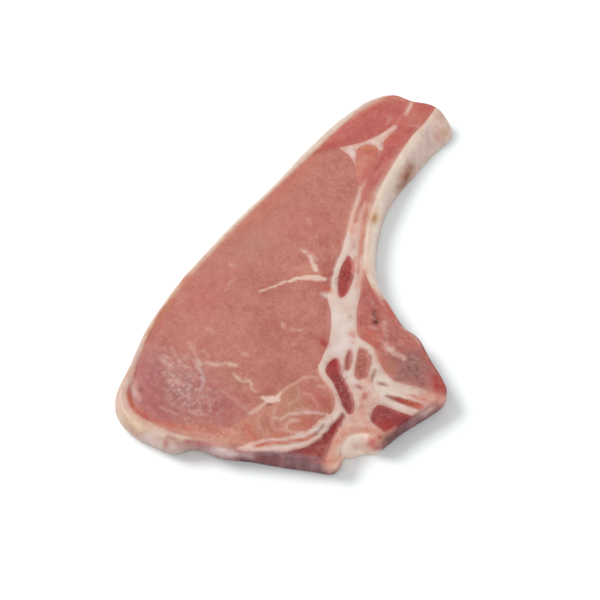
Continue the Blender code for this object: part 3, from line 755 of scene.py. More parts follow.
strokes = [
    # The meat's colour laps over the inner side of the back fat
    ("rust", 0.9, [(-44.8, -40, 1.2), (-43.7, -50, 2.2), (-41.8, -60, 1.8), (-38.2, -71.2, 1.2)]),
    ("deep", 0.85, [(-37.6, -73, 1.2), (-34.4, -81.6, 2), (-30.9, -89.8, 2.8), (-27.6, -92.8, 2)]),
    ("rust", 0.9, [(-30.4, -91, 1.4), (-24.8, -94.7, 2.6), (-16, -95.6, 2)]),
    ("purple", 0.6, [(-40.8, -58, 1.2), (-36.8, -70, 2.2), (-32.8, -80.4, 2.4), (-28.8, -87.8, 2.4),
        (-23.6, -92.6, 1.8)]),
    ("pearl", 0.55, [(-32, -86.6, 0.8), (-28.6, -89.4, 1.6), (-24.6, -90.8, 0.9)]),
    ("pearl", 0.4, [(-35, -82.4, 0.7), (-32.6, -86, 1.2), (-30.6, -88, 0.8)]),
    ("pearl", 0.5, [(-42.4, -64, 1), (-40.4, -71.6, 2), (-38, -79, 1.4)]),
    ("pearl", 0.4, [(-41.4, -80, 2), (-37, -90, 3.2), (-31.8, -95.6, 3.2), (-25, -98.8, 2.6)]),
    ("orange", 0.6, [(-14, -94.4, 1.4), (-5, -92, 2.4), (2, -88.4, 2)]),
    ("ivory", 0.7, [(-35.8, 98, 1.4), (-36.8, 92.8, 2.2), (-37.8, 86, 2.5), (-39.8, 71.6, 2.5),
        (-41.4, 57, 2.5), (-43.2, 36, 2.4), (-45.6, 14, 2), (-46.6, -10, 1.4)]),
    ("amber", 0.6, [(-44.8, -37, 0.9), (-43.7, -51, 1.7), (-42.4, -61, 1)]),
    ("amber", 0.3, [(-44.4, 6, 0.8), (-45.4, -10, 1.2), (-45.8, -30, 1.2), (-44.8, -48, 0.8)]),
    ("amber", 0.45, [(-4.6, 4.8, 1.2), (-1.8, 8, 2), (2, 10.6, 2.2), (5, 12.2, 1.4)]),
    ("deep", 0.5, [(0.4, 3.2, 0.8), (4.4, 5.6, 1.3), (8.4, 8, 1)]),
    ("rust", 0.55, [(7.4, 4.6, 1.2), (9.4, 5.6, 2), (11, 7, 1.4)]),
    ("red", 0.45, [(5, 11.2, 1), (7, 13.4, 2), (8.6, 15, 1.4)]),
    ("olive", 0.4, [(-44.4, -44, 1.2), (-42.4, -57, 1.6), (-39, -69, 1.2)]),
    ("flesh", 0.85, [(-12, 84.2, 2), (-10.8, 81, 2.4), (-10.2, 79, 1.4)]),
    ("rose", 0.7, [(-11.6, 76, 3), (-9.8, 71, 6), (-8, 66, 4)]),
    ("amber", 0.35, [(-20.4, 80.6, 2), (-18, 82.6, 3), (-15.4, 84.2, 2)]),
    ("wine", 0.65, [(-9, 81.4, 0.7), (-8.5, 76.4, 1.1), (-8.2, 71.8, 0.8)]),
    ("pale", 0.5, [(-8.8, 66.4, 0.9), (-8.2, 62.8, 1.6), (-7.8, 60, 1.4)]),
    ("salmon", 0.7, [(-6, 69.6, 0.9), (-6.4, 76.4, 1.3), (-5.6, 81.4, 1)]),
    ("pale", 0.85, [(-16.5, 89.6, 1.6), (-15.5, 95, 2.2), (-14.9, 100.2, 1.8)]),
    # Eye muscle: thin pale seams; across its fibrous end they are partly painted wet sheen
    ("pale", 0.45, [(-32.5, -84, 1.4), (-29, -87.4, 1.6), (-25, -89.6, 1.2)]),
    ("cream", 0.6, [(15.4, -56, 0.8), (12.6, -55, 1.2), (10, -53, 1.2), (8, -55.6, 1), (5, -55.2, 1.4),
        (2, -54.6, 0.8)]),
    ("cream", 0.7, [(-4.2, -52.6, 1), (-2, -51.5, 2.2), (0.4, -50.4, 1.2)]),
    ("pale", 0.85, [(-11.4, -57.4, 1.2), (-8, -56, 2.2), (-5.4, -54.2, 1.6)]),
    ("pale", 0.5, [(-0.8, -43.8, 1.6), (1.4, -43.2, 1.6)]),
    ("cream", 0.6, [(-15.4, -58.6, 1.4), (-13.4, -59.4, 1.4)]),
    ("pale", 0.4, [(-31, -67.2, 0.8), (-27, -68.4, 1.4), (-22.7, -68.8, 0.9)]),
    ("pale", 0.45, [(-24.2, -73, 0.8), (-20, -74.8, 1.4), (-15.1, -77.1, 0.9)]),
    ("pale", 0.45, [(-27.8, -62.3, 0.9), (-21.6, -64.2, 1.3), (-16.8, -64.5, 0.8)]),
    ("pale", 0.35, [(-24.3, -54.7, 0.8), (-20.6, -56, 1.2), (-17.5, -57.4, 0.8)]),
    ("white", 0.45, [(-17, -59.6, 0.9), (-11.4, -62.2, 1.4), (-7.6, -64.6, 1)]),
    ("pale", 0.45, [(-19, -73.6, 0.8), (-14.6, -73.2, 1.3), (-10, -73.4, 0.8)]),
    ("white", 0.35, [(-14.9, -74.8, 0.8), (-10, -76.4, 1.3), (-4.8, -77.1, 0.8)]),
    ("pale", 0.4, [(-10.7, -71, 0.8), (-5, -71.4, 1.2), (0.4, -73.3, 0.8)]),
    ("pale", 0.35, [(-14.7, -88, 0.9), (-11, -87.4, 1.4), (-7, -86.1, 0.9)]),
    ("pale", 0.4, [(-3.1, -80.8, 1), (1.4, -79.9, 1.2)]),
    ("pale", 0.4, [(-1.5, -70.4, 0.9), (3, -73.8, 1.2)]),
    ("white", 0.6, [(-8.2, -65.2, 1.6), (-6.6, -66, 1.4)]),
    ("white", 0.45, [(-6.2, -67.4, 1.2), (-5.2, -69, 1.2)]),
    ("pale", 0.45, [(-29.6, -65.6, 1.2), (-24.6, -68.2, 1.2)]),
    ("pale", 0.3, [(-21, -72.4, 1.2), (-15, -72, 1.2), (-9.6, -73.4, 1.2)]),
    ("pale", 0.3, [(4, -64.6, 1), (12, -64.8, 1.2), (20, -65.8, 1.2)]),
    ("pale", 0.3, [(-21.6, -43, 2), (-18.6, -43.4, 2)]),
    ("pale", 0.3, [(-24, -53.6, 1.4), (-20.6, -54.4, 1.4)]),
    ("pale", 0.3, [(-16.4, -53.4, 1.4), (-13, -54, 1.4)]),
    ("pale", 0.35, [(-28, -16, 1.2), (-27.4, -22.4, 1.2)]),
    ("pale", 0.3, [(-34, -10, 1.4), (-31.6, -9, 1.4)]),
    ("pale", 0.35, [(-18.4, 32, 1.2), (-16.4, 30.4, 1.4)]),
    ("pale", 0.2, [(-10.6, 31, 1.2), (-10.3, 25.4, 1.2)]),
    ("pale", 0.5, [(5.2, -21, 1.8), (6, -21.6, 1.4)]),
    ("pale", 0.5, [(13.6, -18.6, 1.4), (10.4, -20.4, 1.2)]),
    ("pale", 0.3, [(15.4, -21.6, 1.2), (15, -26, 1.2)]),
    ("pale", 0.45, [(34, -33.6, 1), (30, -36, 1.3), (27.9, -41, 1.3), (26, -46, 1.2), (25.2, -49.6, 1.2)]),
    ("pale", 0.45, [(-10.6, 16.8, 3), (-8.6, 17, 2.4), (-4.6, 17, 1.6), (-2.2, 16.4, 1.4)]),
    # Multifidus and the thin bone around it
    ("tan", 0.6, [(20.6, -67, 1.6), (19.8, -71, 1.6), (17.8, -75, 1.4)]),
    ("peach", 0.6, [(32.4, -30.6, 1.6), (36, -32.4, 1.6), (42, -35, 1.6), (46.6, -38, 1.7),
        (49.8, -42, 2)]),
    ("brown", 0.5, [(50.2, -56, 1.6), (48.4, -61, 2.4), (44.2, -66, 2.8), (38, -71.4, 3), (31.6, -77, 3)]),
    ("orange", 0.75, [(50, -57, 1.4), (47.8, -61.6, 2), (43.8, -66, 2.2), (38.2, -70.8, 2.6),
        (32, -76.8, 2.6)]),
    ("dark", 0.6, [(50.4, -51.2, 1.3), (50.5, -54.8, 1.5), (49.8, -57.4, 1)]),
    ("red", 0.45, [(36.8, -72, 1), (34.6, -74, 1.8), (32, -76.6, 1.1)]),
    ("rust", 0.5, [(22, -71.6, 1), (26, -73.4, 1.8), (31, -75.4, 1.4)]),
    ("peach", 0.75, [(52.6, -47, 1.3), (52.9, -53, 1.5), (52, -58, 1.6), (50.4, -62, 1.6), (48, -66, 1.6),
        (45, -69.8, 1.6), (41, -73, 1.8)]),
    ("pale", 0.85, [(41.4, -72.6, 1.6), (38, -74.6, 2.2), (34.4, -77.6, 2.2), (30, -80.4, 2),
        (26, -82.8, 1.8)]),
    ("peach", 0.5, [(40.4, -47.6, 1), (41, -51.4, 1)]),
    ("pale", 0.5, [(37.4, -36.6, 1.4), (39.4, -35.4, 1.4)]),
    ("pale", 0.6, [(40.2, -56, 1.2), (38, -57.6, 1.4), (36.6, -60.2, 1.3), (37.2, -62.2, 1.2),
        (39.4, -63.4, 1.2), (42, -62, 1.2), (44.6, -60.8, 1.2)]),
    ("pale", 0.35, [(28, -58, 1), (31, -63.6, 1), (34, -66, 1), (37, -64.2, 1), (39.4, -63.2, 1)]),
    ("pale", 0.3, [(24, -64, 1), (27, -69, 1), (33, -70.4, 1)]),
    ("pale", 0.3, [(33, -44, 1), (37, -42.6, 1), (42.6, -45.4, 1)]),
    ("pale", 0.3, [(30.4, -43, 1), (33.4, -48, 1), (31.6, -52.4, 1)]),
    ("pale", 0.25, [(22.4, -75.6, 1), (17, -78.4, 1), (12, -80, 1)]),
    ("pale", 0.8, [(23, -57, 1.8), (22, -60.4, 1.4), (20.8, -64, 1.6), (20, -66, 1)]),
    ("bone", 0.8, [(47.2, -57.4, 1.3), (44.4, -61.8, 1.3), (42, -65.2, 1.2), (37.6, -69.4, 1.2),
        (32.8, -73.8, 1.2), (28.6, -78.4, 1.3)]),
    ("bone", 0.65, [(49.6, -46, 0.9), (46, -47.4, 0.7), (42, -50, 1.3), (38, -53, 1.5), (35, -56, 1.1),
        (33, -60, 0.7), (30.6, -61.6, 0.9)]),
    ("pale", 0.5, [(39.6, -49.6, 0.7), (37, -51.4, 1.2), (35.6, -52.4, 0.7)]),
    ("dark", 0.7, [(25, -57.2, 1.2), (23.8, -58.2, 1.2)]),
    ("deep", 0.4, [(29, -55.4, 0.9), (31.4, -59.4, 1), (33.4, -63, 0.9)]),
    ("deep", 0.35, [(35.4, -50.4, 0.9), (39.4, -52.6, 1), (42.6, -52.2, 0.9)]),
    ("peach", 0.6, [(30, -77.6, 1.6), (24, -80, 1.4), (18, -84.4, 1.4)]),
    # Flank
    ("peach", 0.55, [(-34.6, 91, 1), (-34, 95.4, 1.8), (-32.6, 101, 1.8), (-30.8, 106, 2.4),
        (-28.2, 110.4, 1.4)]),
    ("peach", 0.55, [(-24.6, 114.2, 1), (-21, 115.4, 2.2), (-18.2, 114.8, 1)]),
    ("pale", 0.75, [(-16.6, 116.4, 1.6), (-15.4, 112.6, 2), (-14.8, 109.4, 1.5)]),
    ("pale", 0.35, [(-19.8, 103, 1.8), (-19.2, 99.4, 1.6)]),
    ("pale", 0.35, [(-8.8, 104.6, 1.2), (-5.8, 107, 1.4)]),
    ("deep", 0.25, [(-9.8, 79, 1), (-9.2, 73.4, 1.4), (-7.8, 68.4, 1.2), (-6.6, 63.6, 1)]),
    ("deep", 0.5, [(-30, 73.2, 0.8), (-35, 68.4, 1.4), (-38.2, 63.6, 1)]),
    ("deep", 0.3, [(-19, 106, 0.8), (-22, 96, 1), (-27, 86, 0.8)]),
    # Rib
    ("pale", 0.65, [(-8.6, 61, 1.2), (-7, 57.4, 1.6), (-5.4, 53.2, 1.8), (-3.6, 48.6, 1.7), (-1, 42, 1.8),
        (0.8, 38, 1.7)]),
    ("pale", 0.6, [(-1.6, 55.4, 1.2), (0, 52, 1.6), (1, 48.4, 1.5), (3, 44.4, 1.6), (5.4, 41, 1.4),
        (7.4, 37.6, 1.4)]),
    ("deep", 0.55, [(-4.4, 59.6, 1), (-3, 53.6, 1.3), (-1.2, 49, 1.2), (0.6, 44, 1.1)]),
    ("bone", 0.85, [(1.6, 37, 1.2), (3.6, 33, 2.2), (5.6, 28, 2.2), (6.8, 22, 1.8), (9.4, 15, 2),
        (12, 9.6, 2)]),
    ("pale", 0.8, [(14.2, 30.6, 1.4), (16.4, 26.8, 2), (19, 22.8, 2.2), (20.8, 19.2, 1.4)]),
    ("rose", 0.75, [(12, 28.6, 1.2), (13.4, 25.6, 1.8), (15.4, 21.6, 1.2)]),
    ("ivory", 0.7, [(6.4, 46.6, 1.2), (10.4, 39.4, 2), (13.2, 34.4, 2.2), (16, 29.6, 2.2),
        (18.4, 26.2, 1.4)]),
    # Vertebra: pockets, and pale lines around the marrow
    ("salmon", 0.65, [(62, -46, 2), (65.2, -43.2, 3), (69, -40.8, 2)]),
    ("rose", 0.35, [(37.2, -12, 1), (39, -13, 1.8), (40.6, -14.6, 1)]),
    ("bone", 0.9, [(10.6, 2.8, 1.4), (12.4, 3.4, 2), (15.4, 4.6, 2)]),
    ("brown", 0.75, [(53.2, -15, 1.4), (54.4, -17.8, 1.8), (55.6, -20.4, 1.1)]),
    ("brown", 0.85, [(58.4, -18.9, 1.4), (60.2, -18.4, 1.9), (61.8, -17.9, 1.4)]),
    ("bone", 0.8, [(64, -24.4, 1.4), (70, -23.8, 1.6), (76, -22.2, 1.4), (80.4, -20.8, 1.2)]),
    ("peach", 0.6, [(62.4, -25, 1.6), (62, -32, 1.8), (64, -38.2, 2.2), (72, -39.4, 2)]),
    ("dark", 0.85, [(65, -22.3, 1.2), (68.6, -21.5, 1.7), (72.6, -20.2, 1.8)]),
    ("rust", 0.9, [(70.4, -20.8, 1.4), (73, -19.7, 1.9), (76.4, -18.4, 2.2), (80.6, -18, 2.4)]),
    ("red", 0.55, [(69, -21.2, 1.2), (73, -19.8, 1.4), (76.4, -19, 1)]),
    ("orange", 0.7, [(77, -18.4, 1.2), (79, -18, 1.6), (81.4, -17.8, 1.4)]),
    ("orange", 0.6, [(71, -17, 0.9), (75, -15.5, 1.1), (80, -14, 1.2), (84, -13, 0.9)]),
    ("deep", 0.8, [(38.4, -13.8, 1.6), (40.6, -17.4, 3), (42.4, -21.6, 2.2)]),
    ("brown", 0.5, [(39.6, -16, 1.2), (41, -18.4, 2), (42.4, -21.4, 1.4)]),
    ("wine", 0.5, [(36.6, -24, 4), (41, -28, 4), (47.4, -31.6, 4), (53, -35, 4.4), (55.6, -38, 3.6)]),
    ("deep", 0.75, [(47.4, -10.4, 1.6), (50, -15.4, 2.4), (51.2, -20, 2.2)]),
    ("red", 0.6, [(36, -22.6, 3), (38.6, -25.6, 3)]),
    ("maroon", 0.75, [(54.6, -41.6, 2.6), (55, -46, 3.6), (54.8, -51, 4), (55.6, -56, 4.4)]),
    ("maroon", 0.55, [(54.2, -49, 2.2), (53.9, -54, 2.4), (53.2, -58.4, 2.6), (51.6, -62.4, 2.6),
        (49.2, -66.6, 2.8), (46.2, -70.6, 3)]),
    ("red", 0.5, [(55.2, -43, 1.6), (55.4, -50, 2.4), (55.2, -56, 2)]),
    # The ash band lays the shaded wall's dark colour on the upper face: the wall's own tone with painted
    # shade
    ("ash", 0.8, [(33.4, -80.6, 1.2), (38, -77.2, 2.2), (42.3, -74.2, 2.8), (47, -71.4, 2.4),
        (52.2, -68.8, 2), (58.3, -66, 2), (62, -64.6, 1.2)]),
    ("bone", 0.7, [(52.4, -45, 1.2), (52.6, -52, 1.2), (51.6, -58, 1.2), (49.8, -62.4, 1.2),
        (47.2, -66.8, 1.2), (43.8, -70.8, 1.4)]),
    ("pale", 0.85, [(50.4, -39.6, 1.4), (53.6, -39.9, 1), (56.8, -41.4, 0.9)]),
    ("peach", 0.8, [(75.4, -39.6, 2.4), (76, -36.6, 1.8), (77.4, -33, 1)]),
    # Fillet
    ("pale", 0.4, [(42.6, 7.6, 1), (46, 4.2, 1), (49.4, 0.4, 1), (51.4, -2.6, 1), (53.6, -5.4, 0.9)]),
    ("deep", 0.45, [(44.4, 8.6, 1.2), (48, 5, 1.4), (51.6, 1.4, 1.2)]),
    ("pale", 0.4, [(42.4, 8.2, 1.6), (44, 7.8, 1.2)]),
    ("pale", 0.7, [(49.6, -1.6, 1.1), (51.6, -2.6, 1.3), (53.6, -0.8, 1.7), (55.4, -2.2, 1.6),
        (57.4, -1.2, 1.5)]),
    ("pale", 0.6, [(58.2, -2.6, 1.3), (59.8, -1.5, 1.6), (61, -2.4, 1)]),
    ("bone", 0.65, [(50.2, -0.8, 1), (52.4, -2, 1.6), (55, -2.5, 2), (57.4, -2.4, 1.1)]),
    ("bone", 0.45, [(58.4, -2.4, 0.9), (60.6, -2.7, 1.4)]),
    ("red", 0.3, [(51.4, 4.8, 1.6), (54.2, 2.8, 3), (57, 0.8, 1.6)]),
    ("deep", 0.45, [(52.6, -6.4, 1), (55, -5, 1.2), (59.6, -4.8, 1)]),
    ("pale", 0.5, [(50.6, 10.6, 1.4), (55, 10.2, 1.6), (59.4, 9.8, 1.4), (63, 8, 1)]),
    ("peach", 0.3, [(44, 13.4, 1), (48, 11.8, 1), (52, 10.6, 1.6)]),
    ("flesh", 0.95, [(28.6, 18.4, 1.2), (34.1, 16.2, 2.8), (38.9, 14.8, 5.2), (43, 13.6, 5.2)]),
    ("flesh", 0.8, [(36.4, 17.6, 1.4), (40, 15.8, 3), (43, 14, 3)]),
    ("amber", 0.6, [(25.4, 20.8, 0.9), (28.2, 19.3, 1.4), (31.6, 18, 0.9)]),
    ("umber", 0.6, [(35.6, 10.6, 1.2), (36.6, 8.8, 1.8)]),
    ("umber", 0.45, [(39.2, 7.4, 1.4), (40.2, 6, 1.8)]),
]

# Fat and gristle with a clearer edge
fatStrokes = [
    [(-14.6, -13.4, 0.7), (-11.6, -9, 0.9), (-7.2, -1.8, 1.3), (-4.6, 1.9, 1.8), (-1.6, 4.8, 2.3),
        (1.6, 7.1, 3), (4.4, 8.6, 3), (7, 10, 2)],
    [(-5.8, 16.2, 1.6), (-3.4, 14.6, 2.2), (-1, 12.8, 2.6), (1.2, 11.8, 1.8)],
    [(-10.4, 16.6, 1), (-8.6, 17, 1.3)],
    [(20.4, -56.4, 2.4), (22.6, -55.5, 3.4), (24.8, -54.4, 3.6), (26.4, -53, 2.2)],
    [(25.4, -49.6, 0.9), (25.2, -52.6, 2.2)],
    [(49.4, -46.4, 1), (48.9, -50, 2), (48.2, -54, 2.3), (47.2, -57.2, 1)],
]

# Marks on the wall, as patches. Each is listed at the spot of the upper face's plane that a slanting
# line from the front meets before it meets the mark. The far walls are unfolded outwards instead
slant = {
    "from": (248, -342),  # where the slanting lines come from
    "share": 0.0164,  # of the way there, by which a mark at the foot is moved
    "front": (0.57, -0.82),
    "unfold": 7,
}
wallMarks = [
    # The belly cavity's side: cream above, brown blemishes, a tan spot and a tan end
    ("ivory", 0.55, -2, 93, 12, 2.6, -86),
    ("ivory", 0.75, -1.2, 80, 10, 2.4, -82),
    ("ivory", 0.8, 1.2, 67, 9, 2.6, -77),
    ("ivory", 0.8, 4.8, 57, 8, 2.8, -68),
    ("ivory", 0.8, 9.8, 47, 8, 2.6, -60),
    ("ivory", 0.75, 16.4, 38, 8, 2.4, -48),
    ("ivory", 0.7, 18.4, 31.4, 5, 1.6, -48),
    ("cream", 0.6, 25, 27.4, 6, 1.8, -42),
    ("tan", 0.7, 4.8, 81, 6, 2.8, -74),
    ("scab", 0.9, 4.8, 85, 3, 2.1, -76),
    ("scab", 0.85, 5.8, 79.6, 4.6, 2.1, -76),
    ("scab", 0.85, 6.9, 74, 4, 1.8, -74),
    ("umber", 0.35, 6.4, 78, 4, 0.9, -74),
    ("tan", 0.5, 4.6, 79, 3, 0.6, -70),
    ("butter", 0.5, 6.4, 53.6, 3.4, 1.8, -66),
    ("ochre", 1, 7, 50.9, 3.4, 1.8, -66),
    ("scab", 0.15, 7.2, 50.6, 2.4, 0.8, -66),
    ("ochre", 0.8, 6.8, 110.7, 3.4, 2.2, 90),
    ("mauve", 0.85, 5.6, 107.4, 2.6, 1.9, 0),
    ("tan", 0.4, -0.6, 118.5, 3.4, 2.6, 0),
    ("pale", 0.5, 2.6, 113, 2.4, 3, 0),
    # Soft fat below: lumps and a fold, with a painted highlight on the fold
    ("cream", 0.3, -27, -101.6, 7, 2.4, -35),
    ("butter", 0.5, -17.8, -100.6, 6, 1.8, -8),
    ("tan", 0.5, -16.6, -104.6, 6, 1.3, -12),
    ("pearl", 0.9, -7.6, -102.4, 4.6, 2.8, 0),
    ("purple", 0.85, -1.8, -100.4, 3, 0.9, -64),
    ("purple", 0.6, -0.8, -96.8, 2.4, 1.2, 20),
    # Painted highlight on the fold
    ("pearl", 0.85, 1.8, -99.6, 1.8, 1.3, 0),
    ("lilac", 0.7, 4.6, -97, 2.6, 1.5, 30),
    ("deep", 0.7, 6.6, -93, 2.6, 1.4, 28),
    ("purple", 0.9, 10, -92.4, 4.4, 1.8, 28),
    ("pearl", 0.6, 14.6, -93.6, 3.4, 1.3, 28),
    ("pearl", 0.9, 20.8, -88.2, 4.4, 2.2, 28),
    ("pearl", 0.8, 25.6, -86.2, 4, 1.8, 28),
    ("purple", 0.5, 28, -83.4, 2.4, 1.2, 28),
    ("lilac", 0.8, 31.6, -82.6, 3, 1.7, 28),
    ("maroon", 0.8, 35.4, -81.8, 4, 1.2, 26),
    ("pearl", 0.45, 32.6, -83.2, 3, 1.4, 28),
    ("maroon", 0.95, 42, -78.6, 5.4, 1.7, 28),
    ("umber", 0.35, 42, -78.6, 5, 1.5, 28),
    ("ash", 0.5, 47.6, -75.6, 6, 1.8, 28),
    ("ash", 0.5, 57.2, -70.2, 5, 2, 28),
    ("orange", 0.5, 59.4, -67.2, 5, 0.7, 28),
    ("salmon", 0.95, 63.2, -63.6, 3, 2.4, 0),
    ("peach", 0.85, 65.4, -65, 2.6, 2.6, 0),
    ("peach", 0.8, 65.4, -61.4, 2.4, 3.4, 0),
    ("cream", 0.4, 66.8, -64.6, 2, 2.4, 0),
    # Half canal of the spine, with painted shade and a painted highlight in it
    ("ivory", 0.75, 66.8, -50.6, 5, 4, 35),
    ("ivory", 0.8, 66, -55, 3.4, 3, 35),
    # Painted shade on its inner side, and a painted highlight along its left edge
    ("lilac", 0.7, 68, -51.4, 3.4, 2, 35),
    ("white", 0.7, 64.2, -52.6, 3.6, 0.9, 88),
    # Darker on its right: deep and wine, partly its own red and partly painted shade
    ("deep", 0.9, 73, -44.6, 1.6, 3.6, -20),
    ("mauve", 0.6, 69.6, -46, 1.4, 2.6, -20),
    ("flesh", 0.85, 75, -45.2, 2.4, 4, -20),
    ("flesh", 0.5, 74.2, -45.4, 1.4, 3.6, -20),
    ("wine", 0.9, 77, -45.4, 1.5, 3.2, -20),
    ("red", 0.7, 72.5, -44.8, 0.6, 2.6, -20),
    ("red", 0.6, 75.2, -44.4, 0.6, 2.4, -20),
    ("peach", 0.85, 72.4, -41.4, 2.6, 1.8, 20),
    ("peach", 0.7, 75.6, -41.6, 1.8, 2.4, 0),
    ("red", 0.75, 71.2, -43.4, 0.7, 1.4, 10),
    ("red", 0.7, 74.2, -41, 0.7, 1.4, 10),
    ("mauve", 0.5, 74.4, -47.4, 0.6, 2, -10),
    # The sawn right side: its umber is partly its own dark tone and partly painted shade
    ("umber", 1, 78, -39.8, 4, 2.2, 66),
    ("umber", 0.5, 80, -33.4, 5, 2, 66),
    ("ash", 0.8, 83.2, -25.6, 4.4, 1.8, 66),
    ("ash", 0.7, 82.8, -23, 2.6, 1.4, 64),
    ("pearl", 0.7, 83.8, -20, 2.2, 1.4, 60),
    ("pale", 0.7, 85.2, -16.6, 2.4, 1.3, 60),
    ("maroon", 0.2, 83, -22, 6.6, 2.6, 64),
    ("maroon", 0.5, 87, -15.8, 2, 0.9, 66),
    ("purple", 0.75, 87.2, -12.4, 2.6, 1.3, 66),
    ("peach", 0.85, 86.8, -8.6, 2.4, 2, 60),
]

# How the marks are laid on. A wave is (height, length), and lengths are in millimetres
drawing = {
    "waveTable": 64,  # the waves repeat after so many lengths
    "seeds": {"drift": (1, 2), "blotch": (3, 4), "crumple": 5, "fibrous": 6, "speckles": 10},
    "drift": (0.35, 2.2),  # sideways, so that no drawn edge is ruled
    "blotch": (0.9, (0.35, 2.6), (0.25, 1.3)),  # even share and two waves of every mark's strength
    "strokeEven": 0.3,  # share of a stroke's strength that the blotches leave alone
    "grains": (2.6, 0.5),  # contrast and threshold of the grains in a speckle
    "softness": 1.6,  # width of a stroke's soft edge
    "pathStep": 1.5,
    "strokeReach": 4,
    "seamStep": 2,
    "seamReach": 6,
    "outlineStep": 4,
    "wall": (0.998, 0.04, 0.01, 0.03),  # where the wall starts below the upper face and ends, as shares
    "border": 1.5,  # the colour softens so far from a seam
    # Patches: where the eye muscle is fibrous, and where no line shows between it and the multifidus
    "fibrous": (-11, -76, 20, 14, -14),
    "grown": (12, -78, 22, 9, 62),
}

relief = {
    "waves": ((0.8, 40), (0.22, 13)),  # broad swells and ripples
    "crumple": (0.08, 3.2),
    "fibrous": (0.2, 1.7),
    "fibreStretch": 0.35,
    "crown": (0.4, 6),  # meat swells between its seams: height and reach
    "groove": (0.07, 0.6),  # beside the seams: depth and width
    "seamEdge": 1.2,
    "boneRise": 0.12,
    "marrowSink": 0.35,
    "fatRise": 0.1,
    "smoothAngle": 50,
}


def soften(share):
    return share * share * (3 - 2 * share)


def softNoise(places, length, seed):
    # Smooth random waves between -1 and 1
    size = drawing["waveTable"]
    table = np.random.default_rng(seed).uniform(-1, 1, (size, size))
    corner = np.floor(places / length).astype(int)
    share = soften(places / length - corner)
    x, y = corner[:, 0] % size, corner[:, 1] % size
    x1, y1 = (x + 1) % size, (y + 1) % size
    low = table[x, y] * (1 - share[:, 0]) + table[x1, y] * share[:, 0]
    high = table[x, y1] * (1 - share[:, 0]) + table[x1, y1] * share[:, 0]
    return low * (1 - share[:, 1]) + high * share[:, 1]


def wander(places):
    # Small sideways drift of every place
    size, length = drawing["drift"]
    drift = np.stack([softNoise(places, length, seed) for seed in drawing["seeds"]["drift"]], axis=1)
    return places + drift * size


def segmentDistance(places, start, end, reach):
    # Which places lie close to a straight step, how far from it, and how far along it
    a, b = np.array(start[:2]), np.array(end[:2])
    inside = (places > np.minimum(a, b) - reach) & (places < np.maximum(a, b) + reach)
    close = np.flatnonzero(inside.all(axis=1))
    share = np.clip(((places[close] - a) @ (b - a)) / max((b - a) @ (b - a), 1e-9), 0, 1)
    away = np.linalg.norm(places[close] - a - share[:, None] * (b - a), axis=1)
    return close, away, share


def strokeMask(places, points):
    # Half at the stroke's edge, one well inside it, none well outside
    mask = np.zeros(len(places))
    path = smoothPath(points, False, drawing["pathStep"])
    for start, end in zip(path, path[1:]):
        close, away, share = segmentDistance(places, start, end, drawing["strokeReach"])
        half = (start[2] + (end[2] - start[2]) * share) / 2
        mask[close] = np.maximum(mask[close], np.clip(0.5 + (half - away) / drawing["softness"], 0, 1))
    return mask


def patchMask(places, x, y, halfLength, halfWidth, turn):
    angle = math.radians(turn)
    along = (places[:, 0] - x) * math.cos(angle) + (places[:, 1] - y) * math.sin(angle)
    across = -(places[:, 0] - x) * math.sin(angle) + (places[:, 1] - y) * math.cos(angle)
    return np.exp(-((along / halfLength) ** 2) - (across / halfWidth) ** 2)


def seamDistance(places):
    # How far each place is from the nearest seam, as far as the reach
    found = np.full(len(places), float(drawing["seamReach"]))
    paths = [smoothPath(points, False, drawing["seamStep"]) for points in seams["open"].values()]
    for points in seams["closed"].values():
        ring = smoothPath(points, True, drawing["seamStep"])
        paths.append(ring + ring[:1])
    for path in paths:
        for start, end in zip(path, path[1:]):
            close, away, share = segmentDistance(places, start, end, drawing["seamReach"])
            found[close] = np.minimum(found[close], away)
    return found


def wallFacing(places):
    # The way that the wall nearest to each place faces
    path = np.array([tuple(point) for point in smoothPath(slab["outline"], True, drawing["outlineStep"])])
    along = np.roll(path, -1, axis=0) - np.roll(path, 1, axis=0)
    facing = np.stack([along[:, 1], -along[:, 0]], axis=1) / np.linalg.norm(along, axis=1)[:, None]
    nearest = np.argmin(((places[:, None] - path[None]) ** 2).sum(axis=2), axis=1)
    return facing[nearest]


def wallLight(facing):
    # How brightly the walls are lit, by the way that they face
    key = np.array(studio["keyPlace"]) / np.linalg.norm(studio["keyPlace"])
    return studio["shade"] + studio["keyShare"] * np.clip(facing @ key[:2], 0, 1)


def unfoldWalls(places, height, onWall, facing):
    # Where each place lies in the drawing: slanted towards the front, or unfolded outwards at the back
    depth = (1 - np.clip(height, 0, 1))[:, None]
    shift = (np.array(slant["from"]) - places) * slant["share"] * depth
    away = np.clip(0.5 - 2 * (facing @ np.array(slant["front"])), 0, 1)[:, None]
    shift[onWall] = shift[onWall] * (1 - away) + facing * slant["unfold"] * depth[onWall] * away
    return places + shift


def listMarks(places):
    # Every mark in its turn: its tint, and how strongly it covers each place
    even, *waves = drawing["blotch"]
    blotch = even
    for (height, length), seed in zip(waves, drawing["seeds"]["blotch"]):
        blotch = blotch + height * softNoise(places, length, seed)
    spread = drawing["strokeEven"] + (1 - drawing["strokeEven"]) * blotch
    contrast, threshold = drawing["grains"]
    for tint, strength, *ellipse in patches:
        yield tint, strength * blotch * patchMask(places, *ellipse)
    for tint, strength, points in strokes:
        yield tint, strength * spread * strokeMask(places, points)
    for i, (tint, strength, *ellipse, long, wide) in enumerate(speckles):
        grains = softNoise(places / (long, wide), 1, drawing["seeds"]["speckles"] + i)
        grains = np.clip(grains * contrast - threshold, 0, 1)
        yield tint, strength * grains * patchMask(places, *ellipse)
    for tint, strength, *ellipse in wallMarks:
        yield tint, strength * blotch * patchMask(places, *ellipse)


